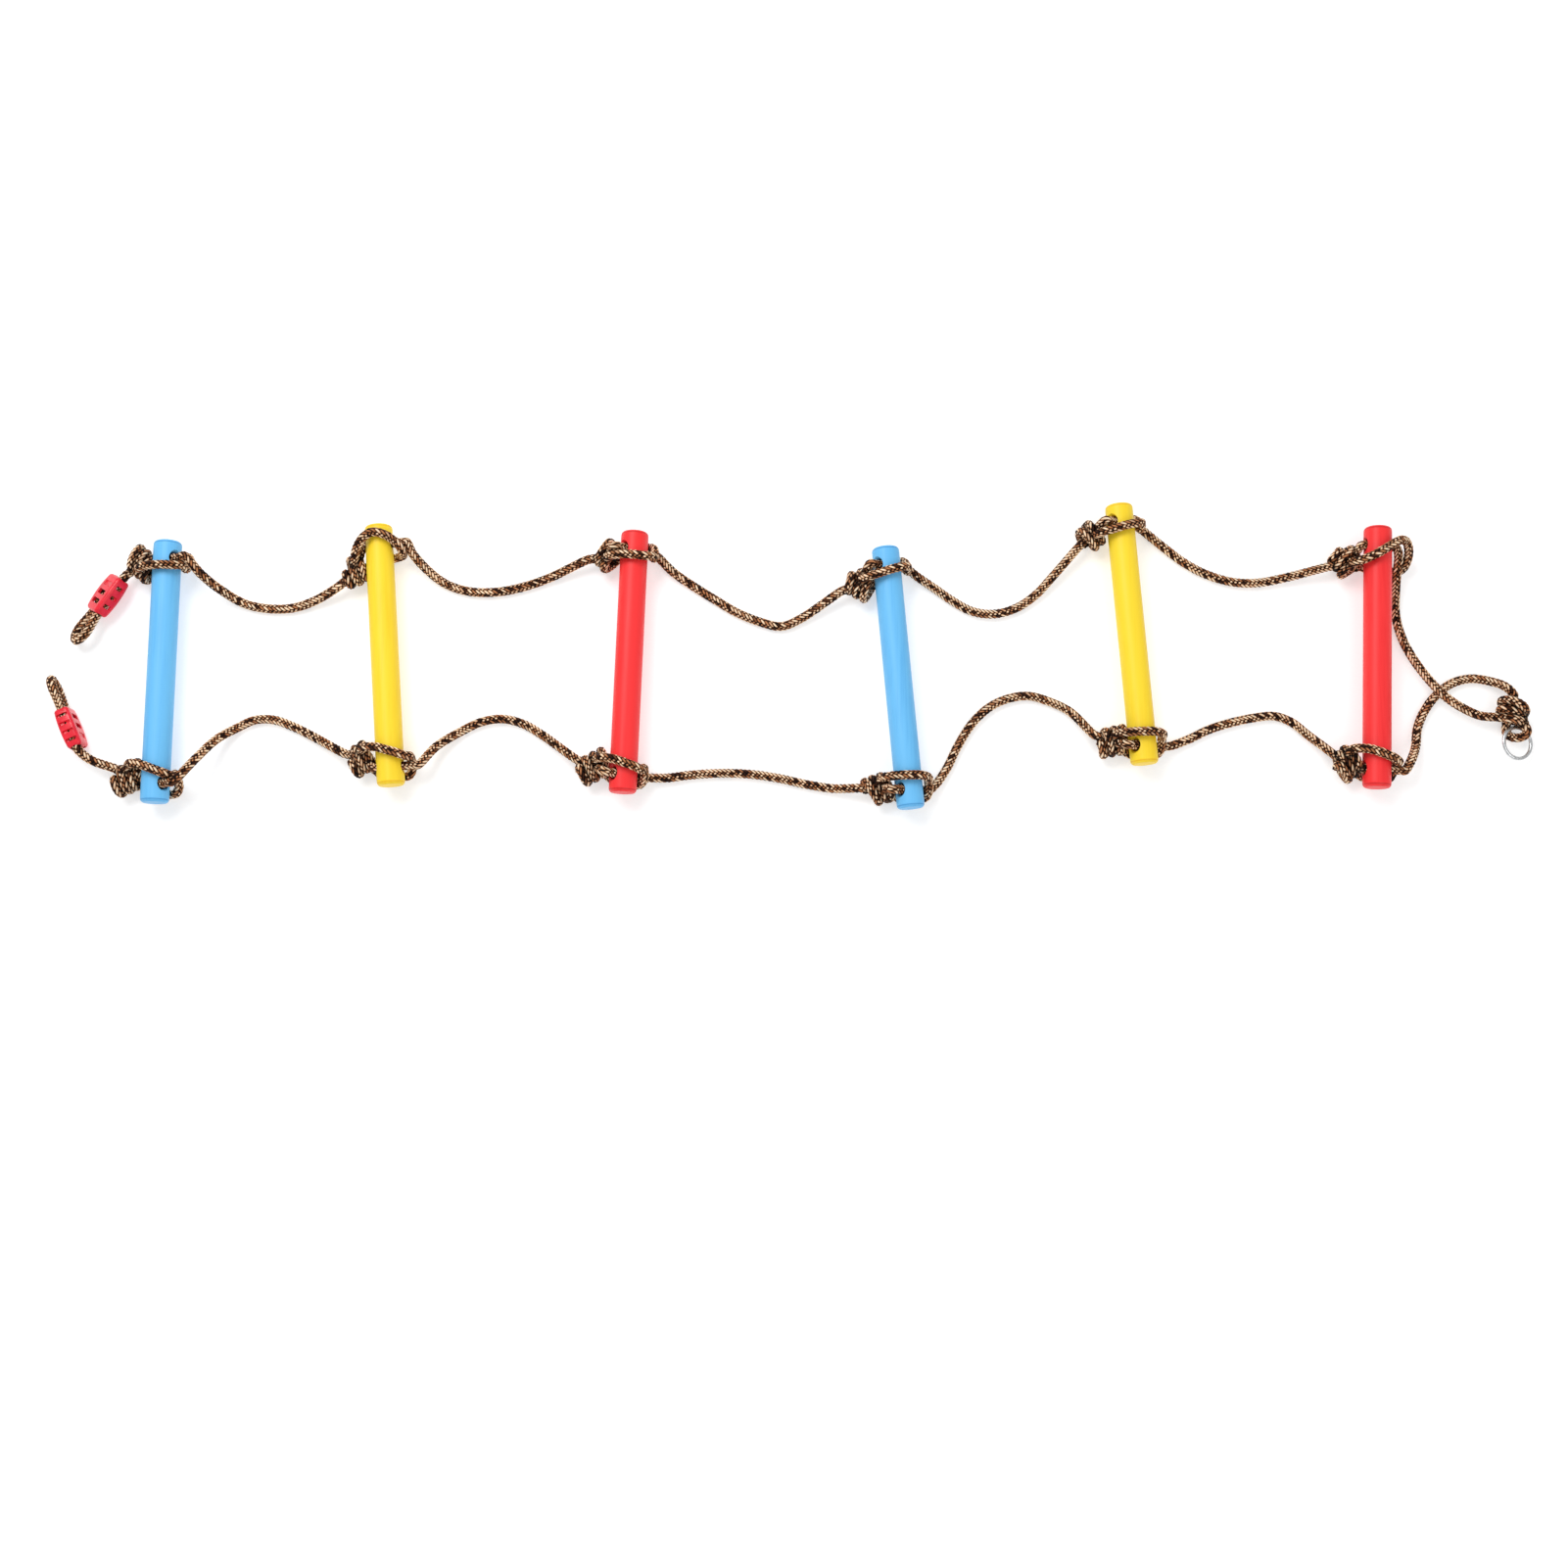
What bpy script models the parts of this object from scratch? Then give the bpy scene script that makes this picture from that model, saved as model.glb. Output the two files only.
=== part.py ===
"""Rope ladder of six painted rungs on two braided ropes, lying flat with its hanging ring at +X.

Metres, +Z up. The surface it lies on is z = 0, +X runs up the ladder to the ring, and +Y is the
left rope's side. Rungs are counted from the bottom, which is the -X end.
"""

import math

import bmesh
import bpy
from mathutils import Matrix, Vector

COLLECTION_NAME = "rope_ladder"
GAP = 0.0003  # kept between pieces that touch

# Rungs
RUNG_LENGTH = 0.270
RUNG_RADIUS = 0.014
RUNG_CHAMFER = 0.0022
RUNG_SIDES = 24
HOLE_RADIUS = 0.0058
HOLE_SIDES = 16
HOLE_INSET = 0.019  # from the end of the rung to the middle of its hole

# Rope
ROPE_RADIUS = 0.005
ROPE_SPACING = 0.028  # between the points of a free stretch
STRAND_SPACING = 0.0075  # between the points of a strand that turns round a rung
STUB = 0.004  # straight part at each end of a free stretch, square to what it meets
HITCH_END = 0.024  # from the rung's axis to the end of the strand through its hole
RESTING_STRAND = ROPE_RADIUS + 0.0001  # height of a strand's middle where it lies on the surface
RUNG_HEIGHT = RUNG_RADIUS + 2 * ROPE_RADIUS + 0.0005  # a rung lies on the strand under it

# Wrapped knots
KNOT_RADIUS = 0.0144
KNOT_WRAPS = 3
KNOT_LENGTH = 0.028
KNOT_WAIST = 0.86  # radius between two wraps, as a share of the knot's
KNOT_SIDES = 14
KNOT_HEIGHT = KNOT_RADIUS + 0.0004
KNOT_BEHIND_RUNG = 0.0308  # from the rung's axis to the knot's middle

# Rope adjusters
ADJUSTER_LENGTH = 0.044
ADJUSTER_WIDTH = 0.0260
ADJUSTER_END_WIDTH = 0.0226
ADJUSTER_THICKNESS = 0.0165
ADJUSTER_END_THICKNESS = 0.0145
ADJUSTER_EDGE = 0.003
ADJUSTER_BORE = 0.0054
BORE_SPACING = 0.0106  # between the two bores' axes
WINDOW_SIZE = (0.0045, 0.0088)  # along and across the adjuster
WINDOW_STATIONS = (-0.0035, 0.0045)
SIDE_SLOT_SIZE = (0.0032, 0.0070)
SIDE_SLOT_STATIONS = (-0.011, 0.0, 0.011)
LOOP_OUTSIDE = 0.034  # how far a tail's loop stands out of its adjuster
LOOP_HALF_WIDTHS = {"left": 0.0086, "right": 0.0076}
LOOP_SHAPE = ((0.33, 0.82), (0.62, 1.0), (0.88, 0.68))  # shares of its reach and half width

# Ring
RING_RADIUS = 0.0160  # to the middle of its wire
WIRE_RADIUS = 0.0020
RING_CENTRE = (0.7388, -0.0860, 0.0122)
RING_TILT = math.radians(16)  # about Y, its left side up

# Joints. The ropes fold half way along each free stretch, about lines across the ladder.
FOLD_HEIGHT = 0.0115
FOLDS = (
    ("rung_1", -0.524), ("rung_2", -0.287), ("rung_3", -0.027), ("rung_4", 0.229), ("rung_5", 0.472),
)
BRIDLE_FOLD = (0.672, 0.0, 0.010)
RING_SWING = (0.7388, -0.0700, 0.0122)  # where the ring's wire lies in the eye
TAIL_SWINGS = {"left": (-0.6818, 0.0869, 0.0157), "right": (-0.6950, -0.1060, 0.0157)}

BLUE = (0.17, 0.53, 0.92)
YELLOW = (1.0, 0.74, 0.04)
RED = (1.0, 0.07, 0.07)
ROPE_BROWN = (0.27, 0.14, 0.07)
PLASTIC_RED = (0.85, 0.02, 0.04)
ZINC = (0.78, 0.79, 0.80)

# Each rung: name, paint, middle x, middle y, turn about Z and roll of its holes in degrees.
# A positive roll lifts the hole's upper opening, the one towards the ring.
RUNGS = (
    ("rung_1", BLUE, -0.637, -0.014, 0.0, 35),
    ("rung_2", YELLOW, -0.411, 0.003, 4.6, 0),
    ("rung_3", RED, -0.163, -0.004, -2.0, -40),
    ("rung_4", BLUE, 0.110, -0.020, 5.0, -40),
    ("rung_5", YELLOW, 0.348, 0.025, 4.0, -40),
    ("rung_6", RED, 0.597, 0.001, -3.0, 0),
)
SIDES = {"left": 1, "right": -1}

# The way each knot points, away from its rung, in degrees about Z from +X.
KNOT_HEADINGS = {
    "left": (214, 222, 190, 200, 226, 190),
    "right": (146, 164, 158, 178, 156, 140),
}

# How far each knot lies inward of its hole, towards the ladder's middle, in millimetres.
KNOTS_INWARD = {"left": (4, 27, 5, 15, 8, 18), "right": (8, 13, 8, 5, 8, 7)}

# Strands about a rung, seen along it: up the ladder, outward along the rung from the hole, and up,
# in millimetres from the rung's axis. Each leaves its knot, crosses over the rung, hooks round the
# rope that leaves the hole and comes back to the knot under the rung.
OVER_RUNG = ((-26, -13, 6), (-20, -14, 14), (-10, -14, 19.6), (1, -13.5, 20.3))
OVER_RUNG += ((12, -13, 17.5), (20.5, -13, 9))
UNDER_RUNG = ((13, 11, -19.2), (0, 10.5, -19.4), (-12, 5, -18.8), (-22, -3, -15))
HITCHES = {
    "under": OVER_RUNG + ((21.5, -13, 0), (22.5, -10.5, -11), (26.5, -2, -18.8), (23, 7, -19.2))
    + UNDER_RUNG,
    "over": OVER_RUNG + ((25.5, -10.5, 0), (29, -1.5, -4.5), (27.5, 8.5, -9), (21, 12, -15.5))
    + UNDER_RUNG,
    "outside": (
        (-28.5, -17, 3), (-23.5, -8, 11.5), (-13, 0, 18.8), (0, 3, 20.4), (12, 4.5, 17.5), (20, 8, 10),
        (25.5, 11.5, 1), (28.5, 11, -9), (27, 3, -18.2), (18, -5, -19.2), (4, -8, -19.4),
        (-10, -13, -18.8), (-22, -20, -15),
    ),
    "slanted": (
        (-26, -20, 6), (-19, -19, 14), (-9, -15, 20), (2, -8, 20.6), (12, -1, 18.5), (20.5, 4, 12),
        (28, 4, 5), (33.5, -4, -1), (33.5, -14, -8), (28.5, -20, -16), (18, -21.5, -19.2),
        (4, -21, -19.4), (-10, -18, -18.8), (-22, -16, -14),
    ),
}
HITCH_KINDS = {
    "left": ("under", "outside", "over", "over", "over", "slanted"),
    "right": ("under", "under", "over", "over", "over", "under"),
}
# On the slanted hitch the rope that leaves the hole turns down the rung's side.
TURNED_EXIT = ((19.8, -2.0, -0.4), (22.2, -10.0, -2.5), (22.4, -20.0, -5.8), (22.4, -25.0, -7.8))

# Routes of the free stretches: x, y and height in metres, from the lower rung's hitch up to the
# next knot. Their two ends are added from the rungs' and the knots' own places.
LOW = RESTING_STRAND
ROPE_ROUTES = {
    "left_rope_1": (
        (-0.598, 0.084, 0.034), (-0.581, 0.071, 0.018), (-0.562, 0.061, 0.0065), (-0.540, 0.056, LOW),
        (-0.514, 0.056, LOW), (-0.490, 0.063, 0.007),
    ),
    "left_rope_2": (
        (-0.3865, 0.1095, 0.0215), (-0.3725, 0.0945, 0.0125), (-0.355, 0.082, 0.0056), (-0.331, 0.074, LOW), (-0.306, 0.073, LOW),
        (-0.281, 0.077, LOW), (-0.250, 0.087, 0.006),
    ),
    "left_rope_3": (
        (-0.120, 0.094, 0.0065), (-0.100, 0.080, LOW), (-0.078, 0.066, LOW), (-0.053, 0.051, LOW),
        (-0.028, 0.041, LOW), (-0.008, 0.037, LOW), (0.012, 0.045, 0.006),
    ),
    "left_rope_4": (
        (0.135, 0.087, 0.0065), (0.150, 0.077, LOW), (0.168, 0.064, LOW), (0.188, 0.053, LOW),
        (0.210, 0.050, LOW), (0.233, 0.056, LOW), (0.254, 0.070, 0.006), (0.271, 0.088, 0.010),
    ),
    "left_rope_5": (
        (0.376, 0.130, 0.0065), (0.391, 0.118, LOW), (0.409, 0.104, LOW), (0.431, 0.092, LOW),
        (0.457, 0.084, LOW), (0.483, 0.083, LOW), (0.512, 0.088, 0.007),
    ),
    "right_rope_1": (
        (-0.596, -0.107, 0.034), (-0.580, -0.083, 0.017), (-0.563, -0.069, LOW), (-0.545, -0.061, LOW),
        (-0.526, -0.061, LOW), (-0.506, -0.068, LOW), (-0.484, -0.079, 0.007),
    ),
    "right_rope_2": (
        (-0.358, -0.090, 0.014), (-0.335, -0.073, LOW), (-0.314, -0.063, LOW), (-0.293, -0.060, LOW),
        (-0.272, -0.065, LOW), (-0.253, -0.076, 0.006),
    ),
    "right_rope_3": (
        (-0.124, -0.121, 0.0065), (-0.102, -0.118, LOW), (-0.070, -0.116, LOW), (-0.040, -0.117, LOW),
        (-0.012, -0.121, LOW), (0.020, -0.128, LOW), (0.045, -0.132, 0.007),
    ),
    "right_rope_4": (
        (0.149, -0.127, 0.0065), (0.160, -0.111, LOW), (0.172, -0.087, LOW), (0.187, -0.064, LOW),
        (0.204, -0.048, LOW), (0.223, -0.039, LOW), (0.244, -0.036, LOW), (0.266, -0.042, LOW),
        (0.287, -0.053, 0.006),
    ),
    "right_rope_5": (
        (0.388, -0.088, 0.0065), (0.407, -0.081, LOW), (0.428, -0.071, LOW), (0.450, -0.064, LOW),
        (0.473, -0.059, LOW), (0.495, -0.057, LOW), (0.512, -0.063, LOW), (0.527, -0.076, 0.007),
    ),
    "left_bridle": (
        (0.6240, 0.070, 0.0095), (0.6245, 0.048, LOW), (0.6295, 0.024, 0.0062), (0.638, 0.002, 0.0105),
        (0.650, -0.019, 0.0150), (0.666, -0.038, 0.0163), (0.684, -0.050, 0.0145), (0.703, -0.058, 0.0128),
    ),
    "right_bridle": (
        (0.6275, -0.1045, 0.0210), (0.6360, -0.0885, 0.0110), (0.6405, -0.070, 0.0056), (0.648, -0.053, LOW),
        (0.660, -0.037, LOW), (0.678, -0.023, LOW), (0.698, -0.018, LOW), (0.716, -0.021, 0.0075),
        (0.7300, -0.0275, 0.0120),
    ),
}

# Bridle knot and its eye
BRIDLE_KNOT_CENTRE = (0.7375, -0.0535, 0.0142)
BRIDLE_KNOT_HEADING = 90
BRIDLE_KNOT_LENGTH = 0.026
BRIDLE_KNOT_RADIUS = 0.0138
BRIDLE_KNOT_WRAPS = 2
# Where each leg of the bridle meets the knot, and the way back along the leg from there.
LEG_ENDS = {
    "left_bridle": ((0.7222, -0.0600, 0.0138), (-1.0, 0.12, -0.05)),
    "right_bridle": ((0.7370, -0.0401, 0.0142), (0, 1, 0)),
}
EYE_ROUTE = (
    (0.7306, -0.0680, 0.0064), (0.7305, -0.0702, 0.0059), (0.7310, -0.0732, 0.0053),
    (0.7330, -0.0768, 0.0054), (0.7372, -0.0795, 0.0074), (0.7424, -0.0802, 0.0112),
    (0.7464, -0.0779, 0.0158), (0.7468, -0.0737, 0.0187), (0.7450, -0.0703, 0.0192),
    (0.7444, -0.0680, 0.0189),
)

# Tails: the middle of the bore the rope enters and its height, the way it points about Z and the
# adjuster's roll, in degrees, and the route's points between the knot and the adjuster.
TAILS = {
    "left": ((-0.6842, 0.0836, 0.0168), 237, 38, ()),
    "right": ((-0.7205, -0.0918, 0.0188), 114, 90, ((-0.7075, -0.1035, 0.0165),)),
}
TAIL_IN_BORE = 0.010


def new_material(name, colour, roughness, metallic):
    material = bpy.data.materials.new(name)
    material.use_nodes = True
    shader = material.node_tree.nodes["Principled BSDF"]
    shader.inputs["Base Color"].default_value = (*colour, 1.0)
    shader.inputs["Roughness"].default_value = roughness
    shader.inputs["Metallic"].default_value = metallic
    return material


def clear_scene():
    for item in list(bpy.data.objects):
        bpy.data.objects.remove(item, do_unlink=True)


def new_collection(name):
    collection = bpy.data.collections.new(name)
    bpy.context.scene.collection.children.link(collection)
    return collection


def smooth_route(points, spacing):
    """Points about one spacing apart on a smooth curve through a route's points."""
    ends = [2 * points[0] - points[1]], [2 * points[-1] - points[-2]]
    guide = ends[0] + list(points) + ends[1]
    fine = [points[0]]
    for before, start, end, after in zip(guide, guide[1:], guide[2:], guide[3:]):
        lengths = [math.sqrt((b - a).length) for a, b in ((before, start), (start, end), (end, after))]
        start_slope = (end - start) + lengths[1] * (
            (start - before) / lengths[0] - (end - before) / (lengths[0] + lengths[1])
        )
        end_slope = (end - start) + lengths[1] * (
            (after - end) / lengths[2] - (after - start) / (lengths[1] + lengths[2])
        )
        for step in range(1, 17):
            t = step / 16
            fine.append(
                start * (2 * t**3 - 3 * t**2 + 1)
                + start_slope * (t**3 - 2 * t**2 + t)
                + end * (3 * t**2 - 2 * t**3)
                + end_slope * (t**3 - t**2)
            )
    travelled = [0.0]
    for a, b in zip(fine, fine[1:]):
        travelled.append(travelled[-1] + (b - a).length)
    count = max(2, round(travelled[-1] / spacing))
    route, at = [fine[0]], 0
    for number in range(1, count):
        wanted = travelled[-1] * number / count
        while travelled[at + 1] < wanted:
            at += 1
        share = (wanted - travelled[at]) / (travelled[at + 1] - travelled[at])
        route.append(fine[at].lerp(fine[at + 1], share))
    return route + [fine[-1]]


def place_mesh(name, mesh, matrix, material, collection):
    """A new object with this mesh, placed by a matrix."""
    item = bpy.data.objects.new(name, mesh)
    collection.objects.link(item)
    item.matrix_world = matrix
    if material:
        mesh.materials.clear()
        mesh.materials.append(material)
    return item


def shade(item):
    item.data.shade_smooth()
    item.data.set_sharp_from_angle(angle=math.radians(40))
    return item


def evaluated_mesh(item):
    """The object's mesh with its modifiers applied and its loose caps welded."""
    bpy.context.view_layer.update()
    graph = bpy.context.evaluated_depsgraph_get()
    mesh = bpy.data.meshes.new_from_object(item.evaluated_get(graph), depsgraph=graph)
    cage = bmesh.new()
    cage.from_mesh(mesh)
    bmesh.ops.remove_doubles(cage, verts=cage.verts, dist=1e-6)
    cage.to_mesh(mesh)
    cage.free()
    return mesh


def rope_curve(name, route, collection, resolution=2, radius=ROPE_RADIUS, material=None):
    """A rope as a bevelled poly curve through these points."""
    curve = bpy.data.curves.new(name, "CURVE")
    curve.dimensions = "3D"
    curve.bevel_depth = radius
    curve.bevel_resolution = resolution
    curve.use_fill_caps = True
    spline = curve.splines.new("POLY")
    spline.points.add(len(route) - 1)
    for point, place in zip(spline.points, route):
        point.co = (*place, 1.0)
    spline.use_smooth = True
    if material:
        curve.materials.append(material)
    item = bpy.data.objects.new(name, curve)
    collection.objects.link(item)
    return item


def rope_body(name, route, collection, resolution=2, radius=ROPE_RADIUS):
    """The same rope as a closed mesh, for joining."""
    curve = rope_curve(name, route, collection, resolution, radius)
    mesh = evaluated_mesh(curve)
    bpy.data.objects.remove(curve, do_unlink=True)
    return place_mesh(name, mesh, Matrix.Identity(4), None, collection)


def boolean(item, cutter, operation):
    step = item.modifiers.new(cutter.name, "BOOLEAN")
    step.operation = operation
    step.solver = "EXACT"
    step.object = cutter
    cutter.hide_render = True
    cutter.display_type = "WIRE"
    hang_on(item, [cutter])


def hang_on(parent, pieces):
    """Parent pieces where they are, so that they move with the parent."""
    bpy.context.view_layer.update()
    for piece in pieces:
        piece.parent = parent
        piece.matrix_parent_inverse = parent.matrix_world.inverted()


def new_pivot(name, place, collection):
    """An empty on a joint's axis."""
    pivot = bpy.data.objects.new(name, None)
    pivot.empty_display_size = 0.02
    pivot.location = place
    collection.objects.link(pivot)
    return pivot


class Rung:
    """A rung's place, with the frame that its hitches and knots are laid out in."""

    def __init__(self, number):
        self.name, self.paint, x, y, turn, roll = RUNGS[number]
        self.centre = Vector((x, y, RUNG_HEIGHT))
        self.roll = math.radians(roll)
        self.turn = math.radians(turn)
        self.up_ladder = Vector((math.cos(self.turn), math.sin(self.turn), 0))
        self.along = Vector((-math.sin(self.turn), math.cos(self.turn), 0))
        self.number = number

    def place(self, side, up_ladder, outward, height):
        """A point given from the hole on one side: up the ladder, outward and up, in metres."""
        reach = SIDES[side] * (RUNG_LENGTH / 2 - HOLE_INSET + outward)
        return self.centre + up_ladder * self.up_ladder + reach * self.along + Vector((0, 0, height))

    def hole_point(self, side, distance):
        """A point on the hole's axis, this far from the rung's axis towards the ring."""
        return self.place(side, distance * math.cos(self.roll), 0, distance * math.sin(self.roll))

    def knot_centre(self, side):
        middle = self.place(side, -KNOT_BEHIND_RUNG, -KNOTS_INWARD[side][self.number] / 1000, 0)
        return Vector((middle.x, middle.y, KNOT_HEIGHT))

    def knot_direction(self, side):
        heading = math.radians(KNOT_HEADINGS[side][self.number])
        return Vector((math.cos(heading), math.sin(heading), 0))

    def knot_exit(self, side):
        """Where the rope leaves the knot's far end."""
        return self.knot_centre(side) + self.knot_direction(side) * (KNOT_LENGTH / 2)

    def has_turned_exit(self, side):
        return HITCH_KINDS[side][self.number] == "slanted"

    def local_route(self, side, points):
        return [self.place(side, *(value / 1000 for value in point)) for point in points]


def make_rung(rung, parts, cutters):
    bpy.ops.mesh.primitive_cylinder_add(
        vertices=RUNG_SIDES, radius=RUNG_RADIUS, depth=RUNG_LENGTH, rotation=(math.pi / 2, 0, 0)
    )
    dowel = bpy.context.object
    bpy.ops.object.transform_apply(location=False, rotation=True, scale=False)
    dowel.name = rung.name
    dowel.data.name = rung.name
    for owner in list(dowel.users_collection):
        owner.objects.unlink(dowel)
    parts.objects.link(dowel)
    dowel.location = rung.centre
    dowel.rotation_euler = (0, 0, rung.turn)
    chamfer = dowel.modifiers.new("chamfer", "BEVEL")
    chamfer.width = RUNG_CHAMFER
    chamfer.segments = 2
    chamfer.limit_method = "ANGLE"
    chamfer.angle_limit = math.radians(60)
    for side in SIDES:
        reach = 2 * RUNG_RADIUS
        bpy.ops.mesh.primitive_cylinder_add(vertices=HOLE_SIDES, radius=HOLE_RADIUS, depth=2 * reach)
        drill = bpy.context.object
        drill.name = f"{rung.name}_{side}_hole"
        for owner in list(drill.users_collection):
            owner.objects.unlink(drill)
        cutters.objects.link(drill)
        axis = rung.hole_point(side, reach) - rung.hole_point(side, -reach)
        drill.rotation_mode = "QUATERNION"
        drill.rotation_quaternion = axis.to_track_quat("Z", "Y")
        drill.location = rung.hole_point(side, 0)
        boolean(dowel, drill, "DIFFERENCE")
    dowel.data.materials.append(new_material(rung.name, rung.paint, 0.4, 0.0))
    shade(dowel)


def turned_knot(name, centre, direction, length, radius, wraps, collection):
    """A stopper knot's outer shape: wraps side by side, turned about the rope, with a flat end."""
    points = [(0.0, length / 2), (0.55 * radius, length / 2)]
    steps = 4 * wraps
    for number in range(1, steps):
        share = number / steps
        swell = KNOT_WAIST + (1 - KNOT_WAIST) * abs(math.sin(math.pi * wraps * share))
        ends = min(1.0, 0.80 + 1.1 * min(share, 1 - share))
        points.append((radius * swell * ends, length * (0.5 - share)))
    points += [(ROPE_RADIUS, -length / 2 + 0.001), (ROPE_RADIUS, -length / 2), (0.0, -length / 2)]
    mesh = bpy.data.meshes.new(name)
    places = [(x, 0, z) for x, z in points]
    mesh.from_pydata(places, [(n, n + 1) for n in range(len(places) - 1)], [])
    profile = bpy.data.objects.new(name, mesh)
    collection.objects.link(profile)
    screw = profile.modifiers.new("turn", "SCREW")
    screw.steps = KNOT_SIDES
    screw.render_steps = KNOT_SIDES
    screw.use_merge_vertices = True
    screw.merge_threshold = 0.00005
    profile.rotation_mode = "QUATERNION"
    profile.rotation_quaternion = (-direction).to_track_quat("Z", "Y")
    profile.location = centre
    bpy.context.view_layer.update()
    placed = profile.matrix_world.copy()
    solid = evaluated_mesh(profile)
    bpy.data.objects.remove(profile, do_unlink=True)
    return place_mesh(name, solid, placed, None, collection)


def make_knot(rung, side, rope, parts, cutters):
    """A knot with the strand through its rung's hole and the hitch over and under the rung."""
    name = f"{side}_knot_{rung.number + 1}"
    centre = rung.knot_centre(side)
    knot = turned_knot(
        name, centre, rung.knot_direction(side), KNOT_LENGTH, KNOT_RADIUS, KNOT_WRAPS, parts
    )
    core = centre + Vector((0.001, 0, 0.003))
    if rung.roll < 0:
        bend = rung.hole_point(side, -0.0235)
    else:
        bend = core.lerp(rung.hole_point(side, -0.016), 0.6)
    through = [core, bend, *(rung.hole_point(side, distance) for distance in (-0.016, -0.010, 0))]
    if rung.has_turned_exit(side):
        through.append(rung.hole_point(side, 0.0135))
        through += rung.local_route(side, TURNED_EXIT)
    else:
        through.append(rung.hole_point(side, HITCH_END))
    turns = rung.local_route(side, HITCHES[HITCH_KINDS[side][rung.number]])
    hitch = [centre + Vector((0, 0, 0.004)), *turns, centre]
    for label, route in (("through", through), ("hitch", hitch)):
        bends = smooth_route(route[:-1], STRAND_SPACING)
        strand = rope_body(f"{name}_{label}", [*bends, route[-1]], cutters, 2)
        boolean(knot, strand, "UNION")
    knot.data.materials.clear()
    knot.data.materials.append(rope)
    return shade(knot)


def make_ropes(rungs, rope, parts):
    """The free stretches between the rungs, and the two legs of the bridle."""
    for name, middle in ROPE_ROUTES.items():
        side = name.split("_")[0]
        is_leg = name.endswith("bridle")
        lower = rungs[-1] if is_leg else rungs[int(name[-1]) - 1]
        if lower.has_turned_exit(side):
            end, before = reversed(lower.local_route(side, TURNED_EXIT)[-2:])
            away = (end - before).normalized()
        else:
            end = lower.hole_point(side, HITCH_END)
            away = (end - lower.hole_point(side, 0)).normalized()
        start = end + away * GAP
        if is_leg:
            last, leaving = Vector(LEG_ENDS[name][0]), Vector(LEG_ENDS[name][1]).normalized()
        else:
            upper = rungs[int(name[-1])]
            leaving = upper.knot_direction(side)
            last = upper.knot_exit(side) + leaving * GAP
        bends = [start + away * STUB, *map(Vector, middle), last + leaving * STUB]
        route = [start, *smooth_route(bends, ROPE_SPACING), last]
        rope_curve(name, route, parts, 2, ROPE_RADIUS, rope)


def make_bridle_knot(rope, parts):
    heading = math.radians(BRIDLE_KNOT_HEADING)
    direction = Vector((math.cos(heading), math.sin(heading), 0))
    knot = turned_knot(
        "bridle_knot", Vector(BRIDLE_KNOT_CENTRE), direction, BRIDLE_KNOT_LENGTH,
        BRIDLE_KNOT_RADIUS, BRIDLE_KNOT_WRAPS, parts,
    )
    knot.data.materials.append(rope)
    shade(knot)
    route = smooth_route([Vector(point) for point in EYE_ROUTE], STRAND_SPACING)
    rope_curve("bridle_eye", route, parts, 2, ROPE_RADIUS, rope)


def make_ring(zinc, parts):
    bpy.ops.mesh.primitive_torus_add(
        major_radius=RING_RADIUS, minor_radius=WIRE_RADIUS, major_segments=28, minor_segments=8
    )
    ring = bpy.context.object
    ring.name = "hanging_ring"
    for owner in list(ring.users_collection):
        owner.objects.unlink(ring)
    parts.objects.link(ring)
    ring.location = RING_CENTRE
    ring.rotation_euler = (0, RING_TILT, 0)
    ring.data.materials.append(zinc)
    shade(ring)


def adjuster_frame(side):
    """The adjuster's frame: its origin in the mouth of the tail's bore, +X along the bore."""
    mouth, heading, roll, _ = TAILS[side]
    turn = Matrix.Rotation(math.radians(heading), 4, "Z")
    return Matrix.Translation(mouth) @ turn @ Matrix.Rotation(math.radians(roll), 4, "X")


def adjuster_block(name, parts):
    """A long block, widest and thickest in the middle, with its middle at the origin."""
    mesh = bpy.data.meshes.new(name)
    cage = bmesh.new()
    bmesh.ops.create_cube(cage, size=1.0)
    long_edges = [edge for edge in cage.edges if abs(edge.verts[0].co.x - edge.verts[1].co.x) > 0.5]
    bmesh.ops.subdivide_edges(cage, edges=long_edges, cuts=5, use_grid_fill=True)
    for corner in cage.verts:
        narrowing = (2 * corner.co.x) ** 2
        width = ADJUSTER_WIDTH + (ADJUSTER_END_WIDTH - ADJUSTER_WIDTH) * narrowing
        thickness = ADJUSTER_THICKNESS + (ADJUSTER_END_THICKNESS - ADJUSTER_THICKNESS) * narrowing
        corner.co = (corner.co.x * ADJUSTER_LENGTH, corner.co.y * width, corner.co.z * thickness)
    cage.to_mesh(mesh)
    cage.free()
    block = bpy.data.objects.new(name, mesh)
    parts.objects.link(block)
    rounding = block.modifiers.new("rounding", "BEVEL")
    rounding.width = ADJUSTER_EDGE
    rounding.segments = 3
    rounding.limit_method = "ANGLE"
    rounding.angle_limit = math.radians(50)
    return block


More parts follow.
